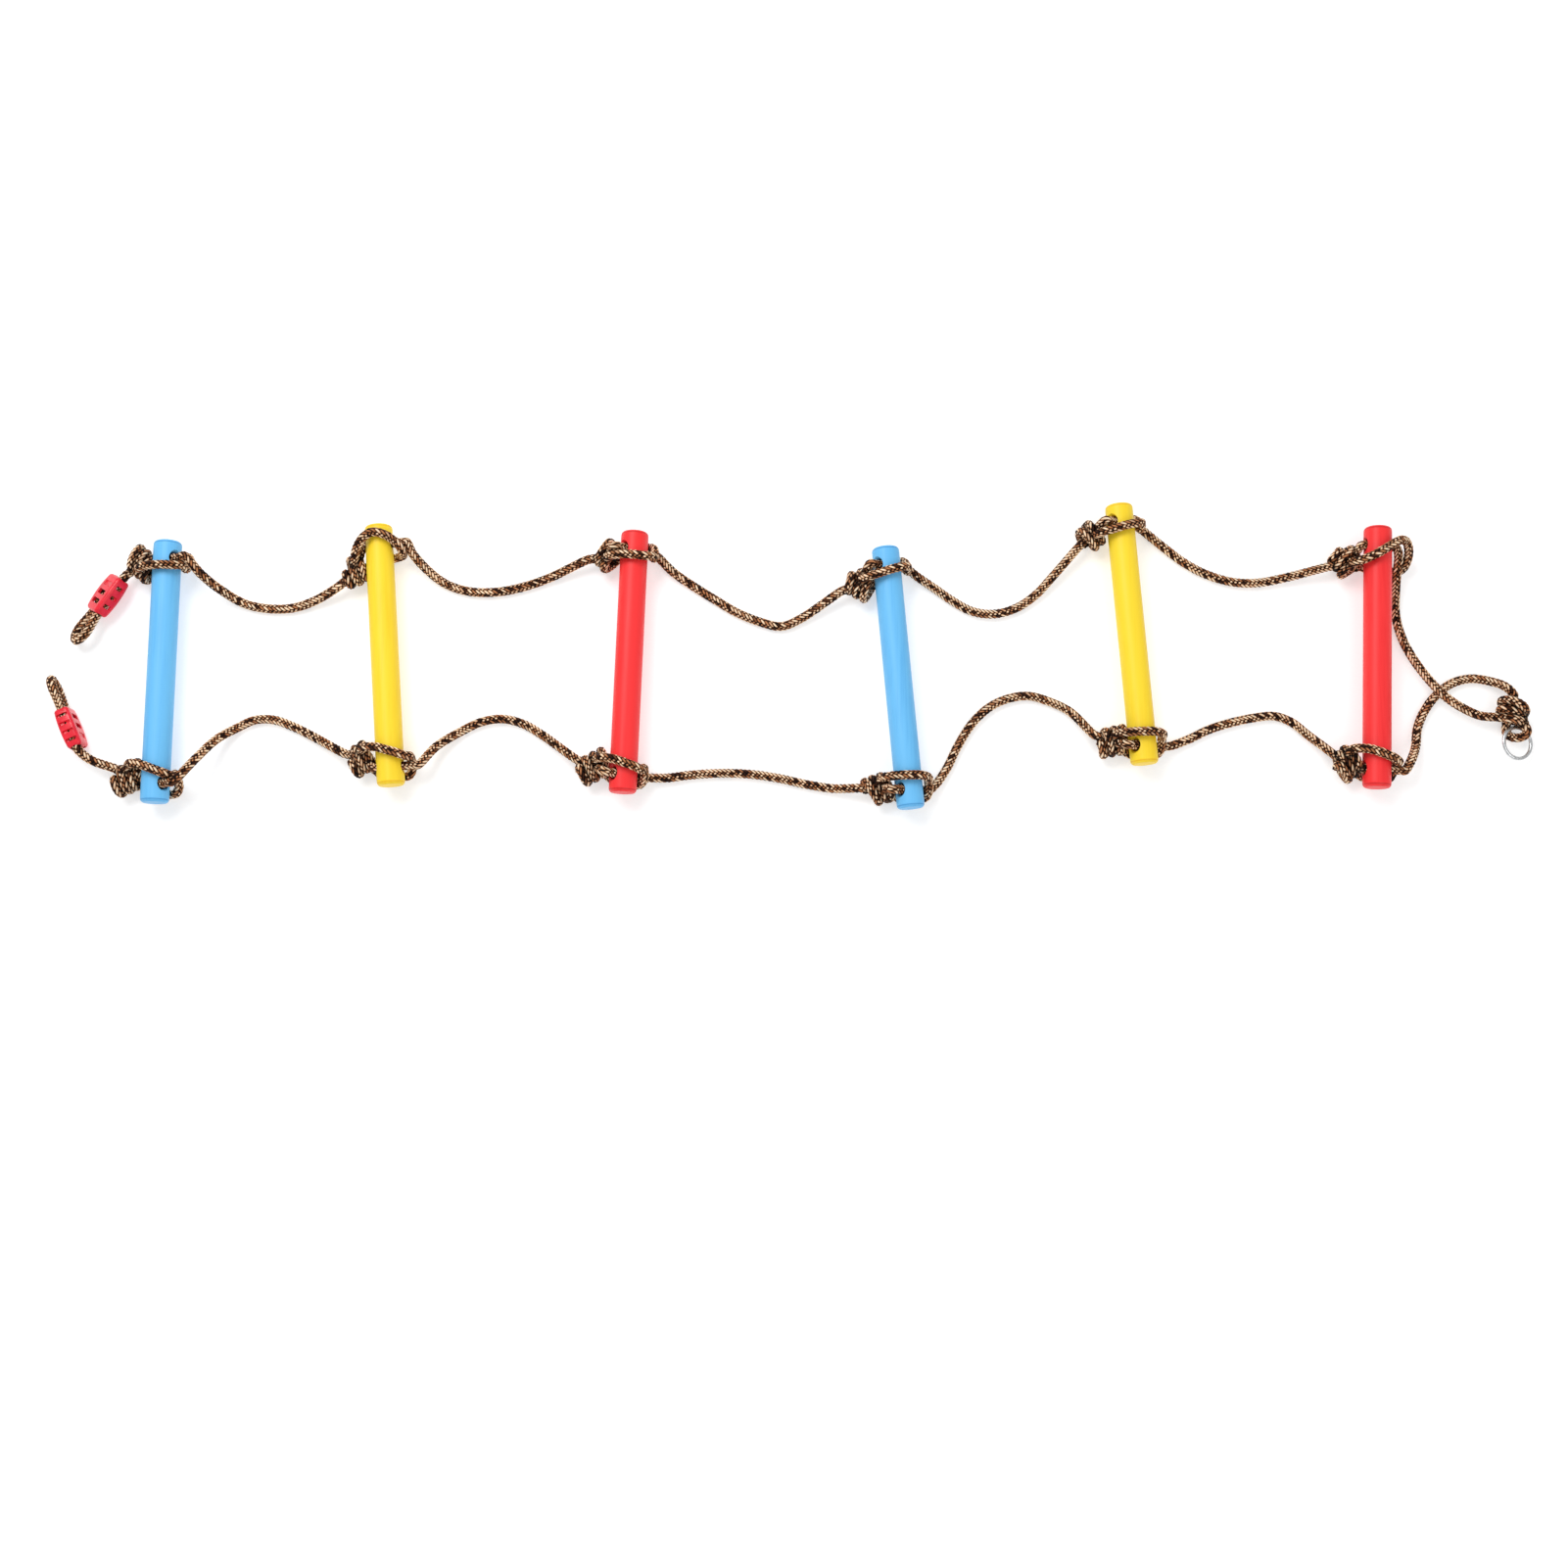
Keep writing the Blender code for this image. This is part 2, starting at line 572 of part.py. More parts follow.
def make_adjuster(side, plastic, parts, cutters):
    """A moulded block with two lengthwise bores, slots in its sides and windows in its faces."""
    name = f"{side}_adjuster"
    block = adjuster_block(name, parts)
    middle = Matrix.Translation((ADJUSTER_LENGTH / 2, -BORE_SPACING / 2, 0))
    block.matrix_world = adjuster_frame(side) @ middle
    for place in (-1, 1):
        bpy.ops.mesh.primitive_cylinder_add(
            vertices=HOLE_SIDES, radius=ADJUSTER_BORE, depth=1.5 * ADJUSTER_LENGTH
        )
        bore = bpy.context.object
        turn = Matrix.Translation((0, place * BORE_SPACING / 2, 0)) @ Matrix.Rotation(math.pi / 2, 4, "Y")
        cut_with(block, bore, turn, f"{name}_bore_{place + 2}", cutters)
    for face in (-1, 1):
        for station in WINDOW_STATIONS:
            reach = ADJUSTER_THICKNESS / 2
            box_cut(block, f"{name}_window", (station, 0, face * reach), (*WINDOW_SIZE, reach), cutters)
        for station in SIDE_SLOT_STATIONS:
            reach = ADJUSTER_WIDTH / 2
            size = (SIDE_SLOT_SIZE[0], 0.4 * ADJUSTER_WIDTH, SIDE_SLOT_SIZE[1])
            box_cut(block, f"{name}_slot", (station, face * reach, 0), size, cutters)
    block.data.materials.append(plastic)
    shade(block)


def cut_with(block, cutter, local, name, cutters):
    """Place a cutter in the block's own frame and take it away from the block."""
    cutter.name = name
    for owner in list(cutter.users_collection):
        owner.objects.unlink(cutter)
    cutters.objects.link(cutter)
    cutter.matrix_world = block.matrix_world @ local
    boolean(block, cutter, "DIFFERENCE")


def box_cut(block, name, centre, size, cutters):
    bpy.ops.mesh.primitive_cube_add(size=1.0)
    box = bpy.context.object
    box.scale = size
    bpy.ops.object.transform_apply(location=False, rotation=False, scale=True)
    cut_with(block, box, Matrix.Translation(centre), name, cutters)


def make_tail(rung, side, rope, parts):
    """The rope from the lowest knot into the adjuster, and the loop between its two bores."""
    frame = adjuster_frame(side)
    leaving = rung.knot_direction(side)
    start = rung.knot_exit(side) + leaving * GAP
    bends = [start + leaving * STUB / 2, *map(Vector, TAILS[side][3]), frame @ Vector((-0.001, 0, 0))]
    route = [start, *smooth_route(bends, STRAND_SPACING), frame @ Vector((TAIL_IN_BORE, 0, 0))]
    rope_curve(f"{side}_tail", route, parts, 2, ROPE_RADIUS, rope)
    middle = -BORE_SPACING / 2
    half = LOOP_HALF_WIDTHS[side]
    out = [(ADJUSTER_LENGTH + reach * LOOP_OUTSIDE, share * half) for reach, share in LOOP_SHAPE]
    tip = (ADJUSTER_LENGTH + LOOP_OUTSIDE, 0)
    mouth = (ADJUSTER_LENGTH + 0.001, BORE_SPACING / 2)
    half_loop = [mouth, *out]
    shape = half_loop + [tip] + [(along, -across) for along, across in reversed(half_loop)]
    bends = [frame @ Vector((along, across + middle, 0)) for along, across in shape]
    inside = [frame @ Vector((TAIL_IN_BORE + GAP, across, 0)) for across in (0, -BORE_SPACING)]
    route = [inside[0], *smooth_route(bends, STRAND_SPACING), inside[1]]
    rope_curve(f"{side}_tail_loop", route, parts, 2, ROPE_RADIUS, rope)


def join_bodies(parts):
    """Pivots on the joints' axes: each rung's body folds on the rung above, the top rung is fixed."""
    piece = parts.objects
    above = piece["rung_6"]
    hang_on(above, [piece[f"{side}_{kind}"] for side in SIDES for kind in ("knot_6", "bridle")])
    for name, place in reversed(FOLDS):
        number = name[-1]
        fold = new_pivot(f"{name}_fold", (place, 0, FOLD_HEIGHT), parts)
        hang_on(above, [fold])
        hang_on(fold, [piece[name]])
        hang_on(fold, [piece[f"{side}_{kind}_{number}"] for side in SIDES for kind in ("knot", "rope")])
        above = piece[name]
    bridle_fold = new_pivot("bridle_fold", BRIDLE_FOLD, parts)
    hang_on(piece["rung_6"], [bridle_fold])
    hang_on(bridle_fold, [piece["bridle_knot"], piece["bridle_eye"]])
    ring_swing = new_pivot("ring_swing", RING_SWING, parts)
    hang_on(piece["bridle_knot"], [ring_swing])
    hang_on(ring_swing, [piece["hanging_ring"]])
    for side, place in TAIL_SWINGS.items():
        swing = new_pivot(f"{side}_tail_swing", place, parts)
        hang_on(piece["rung_1"], [swing])
        hang_on(swing, [piece[f"{side}_{kind}"] for kind in ("tail", "tail_loop", "adjuster")])


def main():
    clear_scene()
    parts = new_collection(COLLECTION_NAME)
    cutters = new_collection("cutters")
    rope = new_material("braided_rope", ROPE_BROWN, 0.6, 0.0)
    zinc = new_material("zinc_plated_steel", ZINC, 0.25, 1.0)
    plastic = new_material("moulded_plastic", PLASTIC_RED, 0.2, 0.0)
    rungs = [Rung(number) for number in range(len(RUNGS))]
    for rung in rungs:
        make_rung(rung, parts, cutters)
        for side in SIDES:
            make_knot(rung, side, rope, parts, cutters)
    make_ropes(rungs, rope, parts)
    make_bridle_knot(rope, parts)
    make_ring(zinc, parts)
    for side in SIDES:
        make_tail(rungs[0], side, rope, parts)
        make_adjuster(side, plastic, parts, cutters)
    join_bodies(parts)


main()
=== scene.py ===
"""The rope ladder's looks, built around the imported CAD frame.

Metres, +Z up. +X runs up the ladder to its hanging ring, +Y is the left rope's side.
"""

import math

import bmesh
import bpy
import numpy as np
from mathutils import Matrix, Vector


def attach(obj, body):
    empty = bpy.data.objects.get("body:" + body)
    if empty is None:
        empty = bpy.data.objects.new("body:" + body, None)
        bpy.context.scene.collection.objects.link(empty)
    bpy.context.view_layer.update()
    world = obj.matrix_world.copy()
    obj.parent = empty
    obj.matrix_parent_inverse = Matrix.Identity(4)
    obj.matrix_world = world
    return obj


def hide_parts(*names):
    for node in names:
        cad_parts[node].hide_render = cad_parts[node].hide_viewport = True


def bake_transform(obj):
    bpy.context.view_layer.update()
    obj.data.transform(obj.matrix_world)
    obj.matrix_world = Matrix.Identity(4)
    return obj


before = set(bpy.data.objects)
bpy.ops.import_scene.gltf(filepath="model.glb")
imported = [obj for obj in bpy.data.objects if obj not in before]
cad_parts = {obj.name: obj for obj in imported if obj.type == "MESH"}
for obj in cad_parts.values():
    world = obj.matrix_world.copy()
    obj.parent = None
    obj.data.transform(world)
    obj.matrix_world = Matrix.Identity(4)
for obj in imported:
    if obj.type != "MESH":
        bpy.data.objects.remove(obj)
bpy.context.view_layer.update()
MM = 0.001


def linked(name, data):
    """A new object in the scene."""
    item = bpy.data.objects.new(name, data)
    bpy.context.scene.collection.objects.link(item)
    return item


def mesh_from(cage, name):
    """The mesh of a finished cage."""
    mesh = bpy.data.meshes.new(name)
    cage.to_mesh(mesh)
    cage.free()
    return mesh


# ---- camera

IMAGE_SIZE = 1601
FOCAL_PIXELS = 1850

camera_data = bpy.data.cameras.new("camera")
camera_data.sensor_width = 36
camera_data.lens = 36 * FOCAL_PIXELS / IMAGE_SIZE
camera = linked("camera", camera_data)
camera.location = (-0.0055, -0.4014, 1.8245)
camera.rotation_euler = (math.radians(8.577), 0, 0)
bpy.context.scene.camera = camera

# ---- sizes, as in the CAD

RUNG_LENGTH = 0.270
RUNG_RADIUS = 0.014
HOLE_RADIUS = 0.0058
HOLE_REACH = 0.116  # from a rung's middle
ROPE_RADIUS = 0.005
RUNG_HEIGHT = 0.0245  # of its axis
LOW = 0.0051  # a rope's middle where it lies on the surface
STUB = 0.004  # a straight bit of rope where two pieces meet
KNOT_HEIGHT = 0.0148
KNOT_LENGTH = 0.028
KNOT_BEHIND_RUNG = 0.0308
HITCH_END = 0.024  # from the rung's axis, where a hitch ends and the free rope starts
SIDES = {"left": 1, "right": -1}

# Name, paint, the middle's x and y, degrees about Z, and the holes' tilt in degrees.
RUNGS = (
    ("rung_1", "blue_paint", -0.637, -0.014, 0.0, 35),
    ("rung_2", "yellow_paint", -0.411, 0.003, 4.6, 0),
    ("rung_3", "red_paint", -0.163, -0.004, -2.0, -40),
    ("rung_4", "blue_paint", 0.110, -0.020, 5.0, -40),
    ("rung_5", "yellow_paint", 0.348, 0.025, 4.0, -40),
    ("rung_6", "red_paint", 0.597, 0.001, -3.0, 0),
)
# Which way each rope leaves its knot down the ladder, in degrees about Z.
KNOT_HEADINGS = {
    "left": (214, 222, 190, 200, 226, 190),
    "right": (146, 164, 158, 178, 156, 140),
}
# How far a knot lies inward from the hole, in millimetres.
KNOTS_INWARD = {"left": (4, 27, 5, 15, 8, 18), "right": (8, 13, 8, 5, 8, 7)}

# Strands about a rung: up the ladder, outward along the rung from the hole, and up, in
# millimetres from the rung's axis. What follows the crossing depends on the hitch's kind.
UNDER_RUNG = ((9, 8, -19.0), (0, 8, -19.2), (-12, 4, -18.8), (-21, -3, -15))
HITCHES = {
    "under": (
        (19.6, -10.0, 0), (20.0, -8, -8), (20.3, -1.5, -12.5), (18.5, 4.5, -14), (15, 7.5, -16.8),
        *UNDER_RUNG,
    ),
    "tucked": (
        (19.8, -9.8, 1), (20.4, -6, -5), (20.6, 1, -9.5), (18.2, 5.5, -13), (14.8, 7.5, -16.4),
        *UNDER_RUNG,
    ),
    "over": (
        (20.2, -7.0, -1.5), (20.6, -1.5, -5.5), (19.4, 4.5, -10), (16.2, 7.6, -15), *UNDER_RUNG,
    ),
    "outside": (
        (-25.5, -16, 3), (-21.5, -7, 11), (-13, 3, 17.3), (-3, 7.5, 19.4), (8, 5, 18.4), (16.5, 0, 12.2),
        (21.6, -5.5, 8.5), (23.4, -9.8, 1.5), (22, -11, -8), (17, -10.5, -16.2), (9, -11, -19.4),
        (-3, -13, -19.4), (-14, -17, -18.8), (-23, -21, -15),
    ),
    "slanted": (
        (-26, -20, 6), (-19, -19, 14), (-9, -15, 19.3), (2, -8, 19.8), (12, -1, 18), (20.5, 4, 12),
        (28, 4, 5), (32, -4, -1), (32, -14, -8), (28.5, -20, -16), (18, -21.5, -19.2),
        (4, -21, -19.4), (-10, -18, -18.8), (-22, -16, -14),
    ),
}
# The crossing strand of the first three kinds: up the ladder and up, in millimetres, between
# which places it moves sideways, and its last point, as in HITCHES.
CROSSING_HEIGHTS = ((-26, 6), (-20, 14), (-10, 18.6), (1, 19.4), (12, 16.7))
CROSSING_SHIFT = (-15, 14)
CROSSING_END = (19.8, 1.8, 7.8)
# Where it lies at the rung's lower and upper edge, in millimetres outward from the hole.
CROSSINGS = {
    "left": ((-10.5, -9.5), None, (-9, -9.5), (-12.5, -6), (-11, -5), None),
    "right": ((-19, -8.5), (-20, -9.8), (-14, -5.5), (-13, -11), (-12, -10.5), (-18, -9)),
}
HITCH_KINDS = {
    "left": ("tucked", "outside", "over", "over", "over", "slanted"),
    "right": ("tucked", "under", "over", "over", "over", "under"),
}
# The rope's way out of a "slanted" hitch's hole, as in HITCHES.
TURNED_EXIT = ((19.8, -2.0, -0.4), (22.2, -10.0, -2.5), (22.4, -20.0, -5.8), (22.4, -25.0, -7.8))

ROPE_ROUTES = {
    "left_rope_1": (
        (-0.598, 0.084, 0.034), (-0.581, 0.071, 0.018), (-0.562, 0.061, 0.0065), (-0.540, 0.056, LOW),
        (-0.514, 0.056, LOW), (-0.490, 0.063, 0.007),
    ),
    "left_rope_2": (
        (-0.3865, 0.1095, 0.0215), (-0.3725, 0.0945, 0.0125), (-0.355, 0.082, 0.0056),
        (-0.331, 0.074, LOW), (-0.306, 0.073, LOW), (-0.281, 0.077, LOW), (-0.250, 0.087, 0.006),
    ),
    "left_rope_3": (
        (-0.120, 0.094, 0.0065), (-0.100, 0.080, LOW), (-0.078, 0.066, LOW), (-0.053, 0.051, LOW),
        (-0.028, 0.041, LOW), (-0.008, 0.037, LOW), (0.012, 0.045, 0.006),
    ),
    "left_rope_4": (
        (0.135, 0.087, 0.0065), (0.150, 0.077, LOW), (0.168, 0.064, LOW), (0.188, 0.053, LOW),
        (0.210, 0.050, LOW), (0.233, 0.056, LOW), (0.254, 0.070, 0.006), (0.271, 0.088, 0.010),
    ),
    "left_rope_5": (
        (0.376, 0.130, 0.0065), (0.391, 0.118, LOW), (0.409, 0.104, LOW), (0.431, 0.092, LOW),
        (0.457, 0.084, LOW), (0.483, 0.083, LOW), (0.512, 0.088, 0.007),
    ),
    "right_rope_1": (
        (-0.596, -0.107, 0.034), (-0.580, -0.083, 0.017), (-0.563, -0.069, LOW), (-0.545, -0.061, LOW),
        (-0.526, -0.061, LOW), (-0.506, -0.068, LOW), (-0.484, -0.079, 0.007),
    ),
    "right_rope_2": (
        (-0.358, -0.090, 0.014), (-0.335, -0.073, LOW), (-0.314, -0.063, LOW), (-0.293, -0.060, LOW),
        (-0.272, -0.065, LOW), (-0.253, -0.076, 0.006),
    ),
    "right_rope_3": (
        (-0.124, -0.121, 0.0065), (-0.102, -0.118, LOW), (-0.070, -0.116, LOW), (-0.040, -0.117, LOW),
        (-0.012, -0.121, LOW), (0.020, -0.128, LOW), (0.045, -0.132, 0.007),
    ),
    "right_rope_4": (
        (0.149, -0.127, 0.0065), (0.160, -0.111, LOW), (0.172, -0.087, LOW), (0.187, -0.064, LOW),
        (0.204, -0.048, LOW), (0.223, -0.039, LOW), (0.244, -0.036, LOW), (0.266, -0.042, LOW),
        (0.287, -0.053, 0.006),
    ),
    "right_rope_5": (
        (0.388, -0.088, 0.0065), (0.407, -0.081, LOW), (0.428, -0.071, LOW), (0.450, -0.064, LOW),
        (0.473, -0.059, LOW), (0.495, -0.057, LOW), (0.512, -0.063, LOW), (0.527, -0.076, 0.007),
    ),
    "left_bridle": (
        (0.6240, 0.070, 0.0095), (0.6245, 0.048, LOW), (0.6295, 0.024, 0.0062), (0.638, 0.002, 0.0105),
        (0.650, -0.019, 0.0150), (0.666, -0.038, 0.0163), (0.684, -0.050, 0.0145), (0.703, -0.058, 0.0128),
    ),
    "right_bridle": (
        (0.6275, -0.1045, 0.0210), (0.6360, -0.0885, 0.0110), (0.6405, -0.070, 0.0056),
        (0.648, -0.053, LOW), (0.660, -0.037, LOW), (0.678, -0.023, LOW), (0.698, -0.018, LOW),
        (0.716, -0.021, 0.0075), (0.7300, -0.0275, 0.0120),
    ),
}
BRIDLE_KNOT = (0.7375, -0.0535, 0.0142)
# Where each leg goes into the bridle knot, and the way back along the leg.
LEG_ENDS = {
    "left_bridle": ((0.7222, -0.0600, 0.0138), (-1.0, 0.12, -0.05)),
    "right_bridle": ((0.7370, -0.0401, 0.0142), (0, 1, 0)),
}
# The first three points lie up to 1 mm off the CAD's, clear of the ring as it swings.
EYE_ROUTE = (
    (0.7312, -0.0680, 0.0057), (0.7311, -0.0702, 0.0052), (0.7313, -0.0732, 0.0050),
    (0.7330, -0.0768, 0.0054), (0.7372, -0.0795, 0.0074), (0.7424, -0.0802, 0.0112),
    (0.7464, -0.0779, 0.0158), (0.7468, -0.0737, 0.0187), (0.7450, -0.0703, 0.0192),
    (0.7444, -0.0680, 0.0189),
)
EYE_TUCKS = ((0.001, 0.007, 0.001), (-0.001, 0.007, -0.001))  # from its ends into the knot

ADJUSTER_LENGTH = 0.044
ADJUSTER_WIDTH = 0.0260
ADJUSTER_THICKNESS = 0.0165
ADJUSTER_BORE = 0.0054
BORE_SPACING = 0.0106
# Each adjuster's mouth, degrees about Z and its length, and the rope's points above it.
TAILS = {
    "left": ((-0.6842, 0.0836, 0.0168), 237, 38, ()),
    "right": ((-0.7205, -0.0918, 0.0188), 114, 90, ((-0.7075, -0.1035, 0.0165),)),
}
LOOP_OUTSIDE = 0.034
LOOP_HALF_WIDTHS = {"left": 0.0086, "right": 0.0076}
# Along the loop, as a share of its length, and the share of its half width there.
LOOP_SHAPE = ((0.33, 0.82), (0.62, 1.0), (0.88, 0.68))

RING_RADIUS = 0.0160
WIRE_RADIUS = 0.0020
RING_CENTRE = (0.7388, -0.0860, 0.0122)
RING_TILT = math.radians(16)

# ---- lines that a rope follows

STEP = 0.0007  # between the rings of a rope's mesh
ROUND = 48  # points in a ring
SPAN_POINTS = 24  # between two given points of a curve
SOFTENING_ROUNDS = 6
STRANDS = 8  # that run each way round the rope
STRAND_PITCH = 0.0043  # along the rope, from one strand to the next
CORE_RADIUS = 0.0037
BRAID_RELIEF = 0.0011
STRAND_DOME = 2.06  # how steeply a strand falls away to its sides
FLECK_SHARE, STRAND_SHARE = 0.72, 0.28  # of a fleck's tone: its own, and its strand's
OWN_STRAND = 0.021  # nearer than this along a rope is the same strand
CREASE_SHADE_TOP = 0.0044  # from another strand's middle, where the painted shade in a gap is deepest
CREASE_SHADE_WIDTH = 0.0036


def curve_through(points):
    """Fine points on a smooth curve through some points."""
    points = np.asarray(points, float)
    guide = np.vstack([2 * points[0] - points[1], points, 2 * points[-1] - points[-2]])
    t = (np.arange(SPAN_POINTS) / SPAN_POINTS)[:, None]
    fine = []
    for before, start, end, after in zip(guide, guide[1:], guide[2:], guide[3:]):
        a, b, c = (
            math.sqrt(np.linalg.norm(q - p)) for p, q in ((before, start), (start, end), (end, after))
        )
        leave = (end - start) + b * ((start - before) / a - (end - before) / (a + b))
        arrive = (end - start) + b * ((after - end) / c - (after - start) / (b + c))
        fine.append(
            start * (2 * t**3 - 3 * t**2 + 1)
            + leave * (t**3 - 2 * t**2 + t)
            + end * (3 * t**2 - 2 * t**3)
            + arrive * (t**3 - t**2)
        )
    return np.vstack([*fine, points[-1:]])


def resample(points):
    """The same line with evenly spaced points."""
    lengths = np.linalg.norm(np.diff(points, axis=0), axis=1)
    travelled = np.concatenate([[0], np.cumsum(lengths)])
    count = max(2, int(round(travelled[-1] / STEP)))
    wanted = np.linspace(0, travelled[-1], count + 1)
    return np.column_stack([np.interp(wanted, travelled, points[:, k]) for k in range(3)])


def relax(points):
    """Soften a line's small kinks, keeping its ends."""
    points = points.copy()
    for _ in range(SOFTENING_ROUNDS):
        points[1:-1] += 0.5 * (0.5 * (points[:-2] + points[2:]) - points[1:-1])
    return points


class RopeLine:
    """One long rope's middle line, with frames carried along it, so that its pieces match."""

    def __init__(self, points, turn=0.0):
        self.points = points
        steps = np.diff(points, axis=0)
        lengths = np.linalg.norm(steps, axis=1)
        self.travelled = np.concatenate([[0], np.cumsum(lengths)])
        middle = points[2:] - points[:-2]
        along = np.vstack([steps[:1], middle, steps[-1:]])
        self.along = along / np.linalg.norm(along, axis=1)[:, None]
        normal = np.cross(self.along[0], (0, 0, 1.0))
        if np.linalg.norm(normal) < 0.1:
            normal = np.cross(self.along[0], (0, 1.0, 0))
        self.normals = np.empty_like(points)
        for number, direction in enumerate(self.along):
            normal = normal - direction * normal.dot(direction)
            normal = normal / math.sqrt(normal.dot(normal))
            self.normals[number] = normal
        self.turn = turn


def scattered(value, factor):
    """A repeatable number from 0 to 1 for each value."""
    return np.mod(np.sin(value) * factor, 1)


def braid(around, along):
    """The braid's relief and each fleck's tone, both from 0 to 1."""
    first = around * STRANDS + along / STRAND_PITCH
    second = around * STRANDS - along / STRAND_PITCH
    row_1, row_2 = np.floor(first), np.floor(second)
    part_1, part_2 = first - row_1, second - row_2
    turn = np.mod(row_1 + row_2, 4)
    first_on_top = turn < 1
    across = np.where(first_on_top, part_1, part_2) - 0.5
    lengthwise = np.where(first_on_top, part_2, (turn - 1 + part_1) / 3)
    dome = np.sqrt(np.clip(1 - (STRAND_DOME * across) ** 2, 0, 1))
    hump = np.sin(np.pi * np.clip(lengthwise, 0, 1)) ** 0.55
    lift = dome * (0.25 + 0.75 * hump)
    float_1 = np.floor((row_2 + np.mod(row_1, 4)) / 4)
    float_2 = np.floor((row_1 + np.mod(row_2, 4) - 1) / 4)
    seed_a = np.where(first_on_top, np.mod(row_1, STRANDS), np.mod(row_2, STRANDS) + 31)
    seed_b = np.where(first_on_top, float_1, float_2 + 57)
    own = scattered(seed_a * 12.9898 + seed_b * 78.233 + 4.1, 43758.5453)
    shared = scattered(seed_a * 45.164 + 9.7, 9631.77)
    return lift, FLECK_SHARE * own + STRAND_SHARE * shared


def neighbours(*stretches):
    """The middle points of strands lying together: place, way along, and the strand's number."""
    rows = []
    for number, (line, begin, end) in enumerate(stretches):
        part = slice(max(0, begin), end + 1, 2)
        count = len(line.points[part])
        rows.append(np.column_stack([line.points[part], line.travelled[part], np.full(count, number)]))
    return np.vstack(rows)


def whole(line):
    return line, 0, len(line.points) - 1


def crease_shade(vertices, travelled, number, beside):
    """How deep each vertex sits in the gap between its strand and the strands beside it, 0 to 1, for the
    painted shade in that gap.
    """
    nearest = np.empty(len(vertices))
    batch = 4000
    for start in range(0, len(vertices), batch):
        block = slice(start, start + batch)
        apart = np.linalg.norm(vertices[block, None, :] - beside[None, :, :3], axis=2)
        own = np.abs(travelled[block, None] - beside[None, :, 3]) < OWN_STRAND
        apart[own & (beside[None, :, 4] == number)] = 1.0
        nearest[block] = apart.min(axis=1)
    return np.clip(1 - (nearest - CREASE_SHADE_TOP) / CREASE_SHADE_WIDTH, 0, 1)


def at_corners(*values):
    """Values at the four corners of each face."""
    return np.stack(values, -1).reshape(-1, 4)[:, ::-1]


def rope_mesh(name, line, begin, end, beside=None, number=0):
    """A closed mesh of the braided rope between two points of its line."""
    spots = line.points[begin : end + 1]
    normals = line.normals[begin : end + 1]
    sides = np.cross(line.along[begin : end + 1], normals)
    travelled = line.travelled[begin : end + 1]
    rings = len(spots)
    around = np.arange(ROUND) / ROUND
    lift, tone = braid(around[None, :] + line.turn, travelled[:, None])
    radius = CORE_RADIUS + BRAID_RELIEF * lift
    angle = 2 * math.pi * around
    offset = np.cos(angle)[None, :, None] * normals[:, None, :]
    offset = offset + np.sin(angle)[None, :, None] * sides[:, None, :]
    vertices = (spots[:, None, :] + radius[:, :, None] * offset).reshape(-1, 3)
    ring, spot = np.meshgrid(np.arange(rings - 1), np.arange(ROUND), indexing="ij")
    ahead = (spot + 1) % ROUND
    here, there = ring * ROUND, (ring + 1) * ROUND
    corners = at_corners(here + spot, there + spot, there + ahead, here + ahead)
    caps = [np.arange(ROUND), ((rings - 1) * ROUND + np.arange(ROUND))[::-1]]
    loops = np.concatenate([corners.ravel(), *caps]).astype(np.int32)
    faces = len(corners) + 2
    starts = np.concatenate([np.arange(len(corners)) * 4, len(corners) * 4 + np.array([0, ROUND])])
    mesh = bpy.data.meshes.new(name)
    mesh.vertices.add(len(vertices))
    mesh.vertices.foreach_set("co", vertices.ravel().astype(np.float32))
    mesh.loops.add(len(loops))
    mesh.loops.foreach_set("vertex_index", loops)
    mesh.polygons.add(faces)
    mesh.polygons.foreach_set("loop_start", starts.astype(np.int32))
    mesh.update(calc_edges=True)
    strands = mesh.uv_layers.new(name="strands")
    turned = at_corners(spot, spot, spot + 1, spot + 1) / ROUND + line.turn
    along = travelled[at_corners(ring, ring + 1, ring + 1, ring)]
    places = np.zeros((len(loops), 2))
    places[: corners.size, 0] = (turned * STRANDS + along / STRAND_PITCH).ravel()
    places[: corners.size, 1] = (turned * STRANDS - along / STRAND_PITCH).ravel()
    strands.data.foreach_set("uv", places.ravel().astype(np.float32))
    # How far each vertex sits in a gap between strands, for the painted shade there.
    depth = np.zeros(len(vertices))
    if beside is not None:
        depth = crease_shade(vertices, np.repeat(travelled, ROUND), number, beside)
    for label, values in (("lift", lift), ("tone", tone), ("crease_shade", depth)):
        layer = mesh.attributes.new(label, "FLOAT", "POINT")
        layer.data.foreach_set("value", values.ravel().astype(np.float32))
    mesh.shade_smooth()
    return mesh


def join_meshes(name, meshes):
    """One object of several rope meshes."""
    pieces = [linked(name, mesh) for mesh in meshes]
    if len(pieces) > 1:
        with bpy.context.temp_override(
            active_object=pieces[0], selected_objects=pieces, selected_editable_objects=pieces
        ):
            bpy.ops.object.join()
    pieces[0].name = name
    return pieces[0]


# ---- where the ropes run


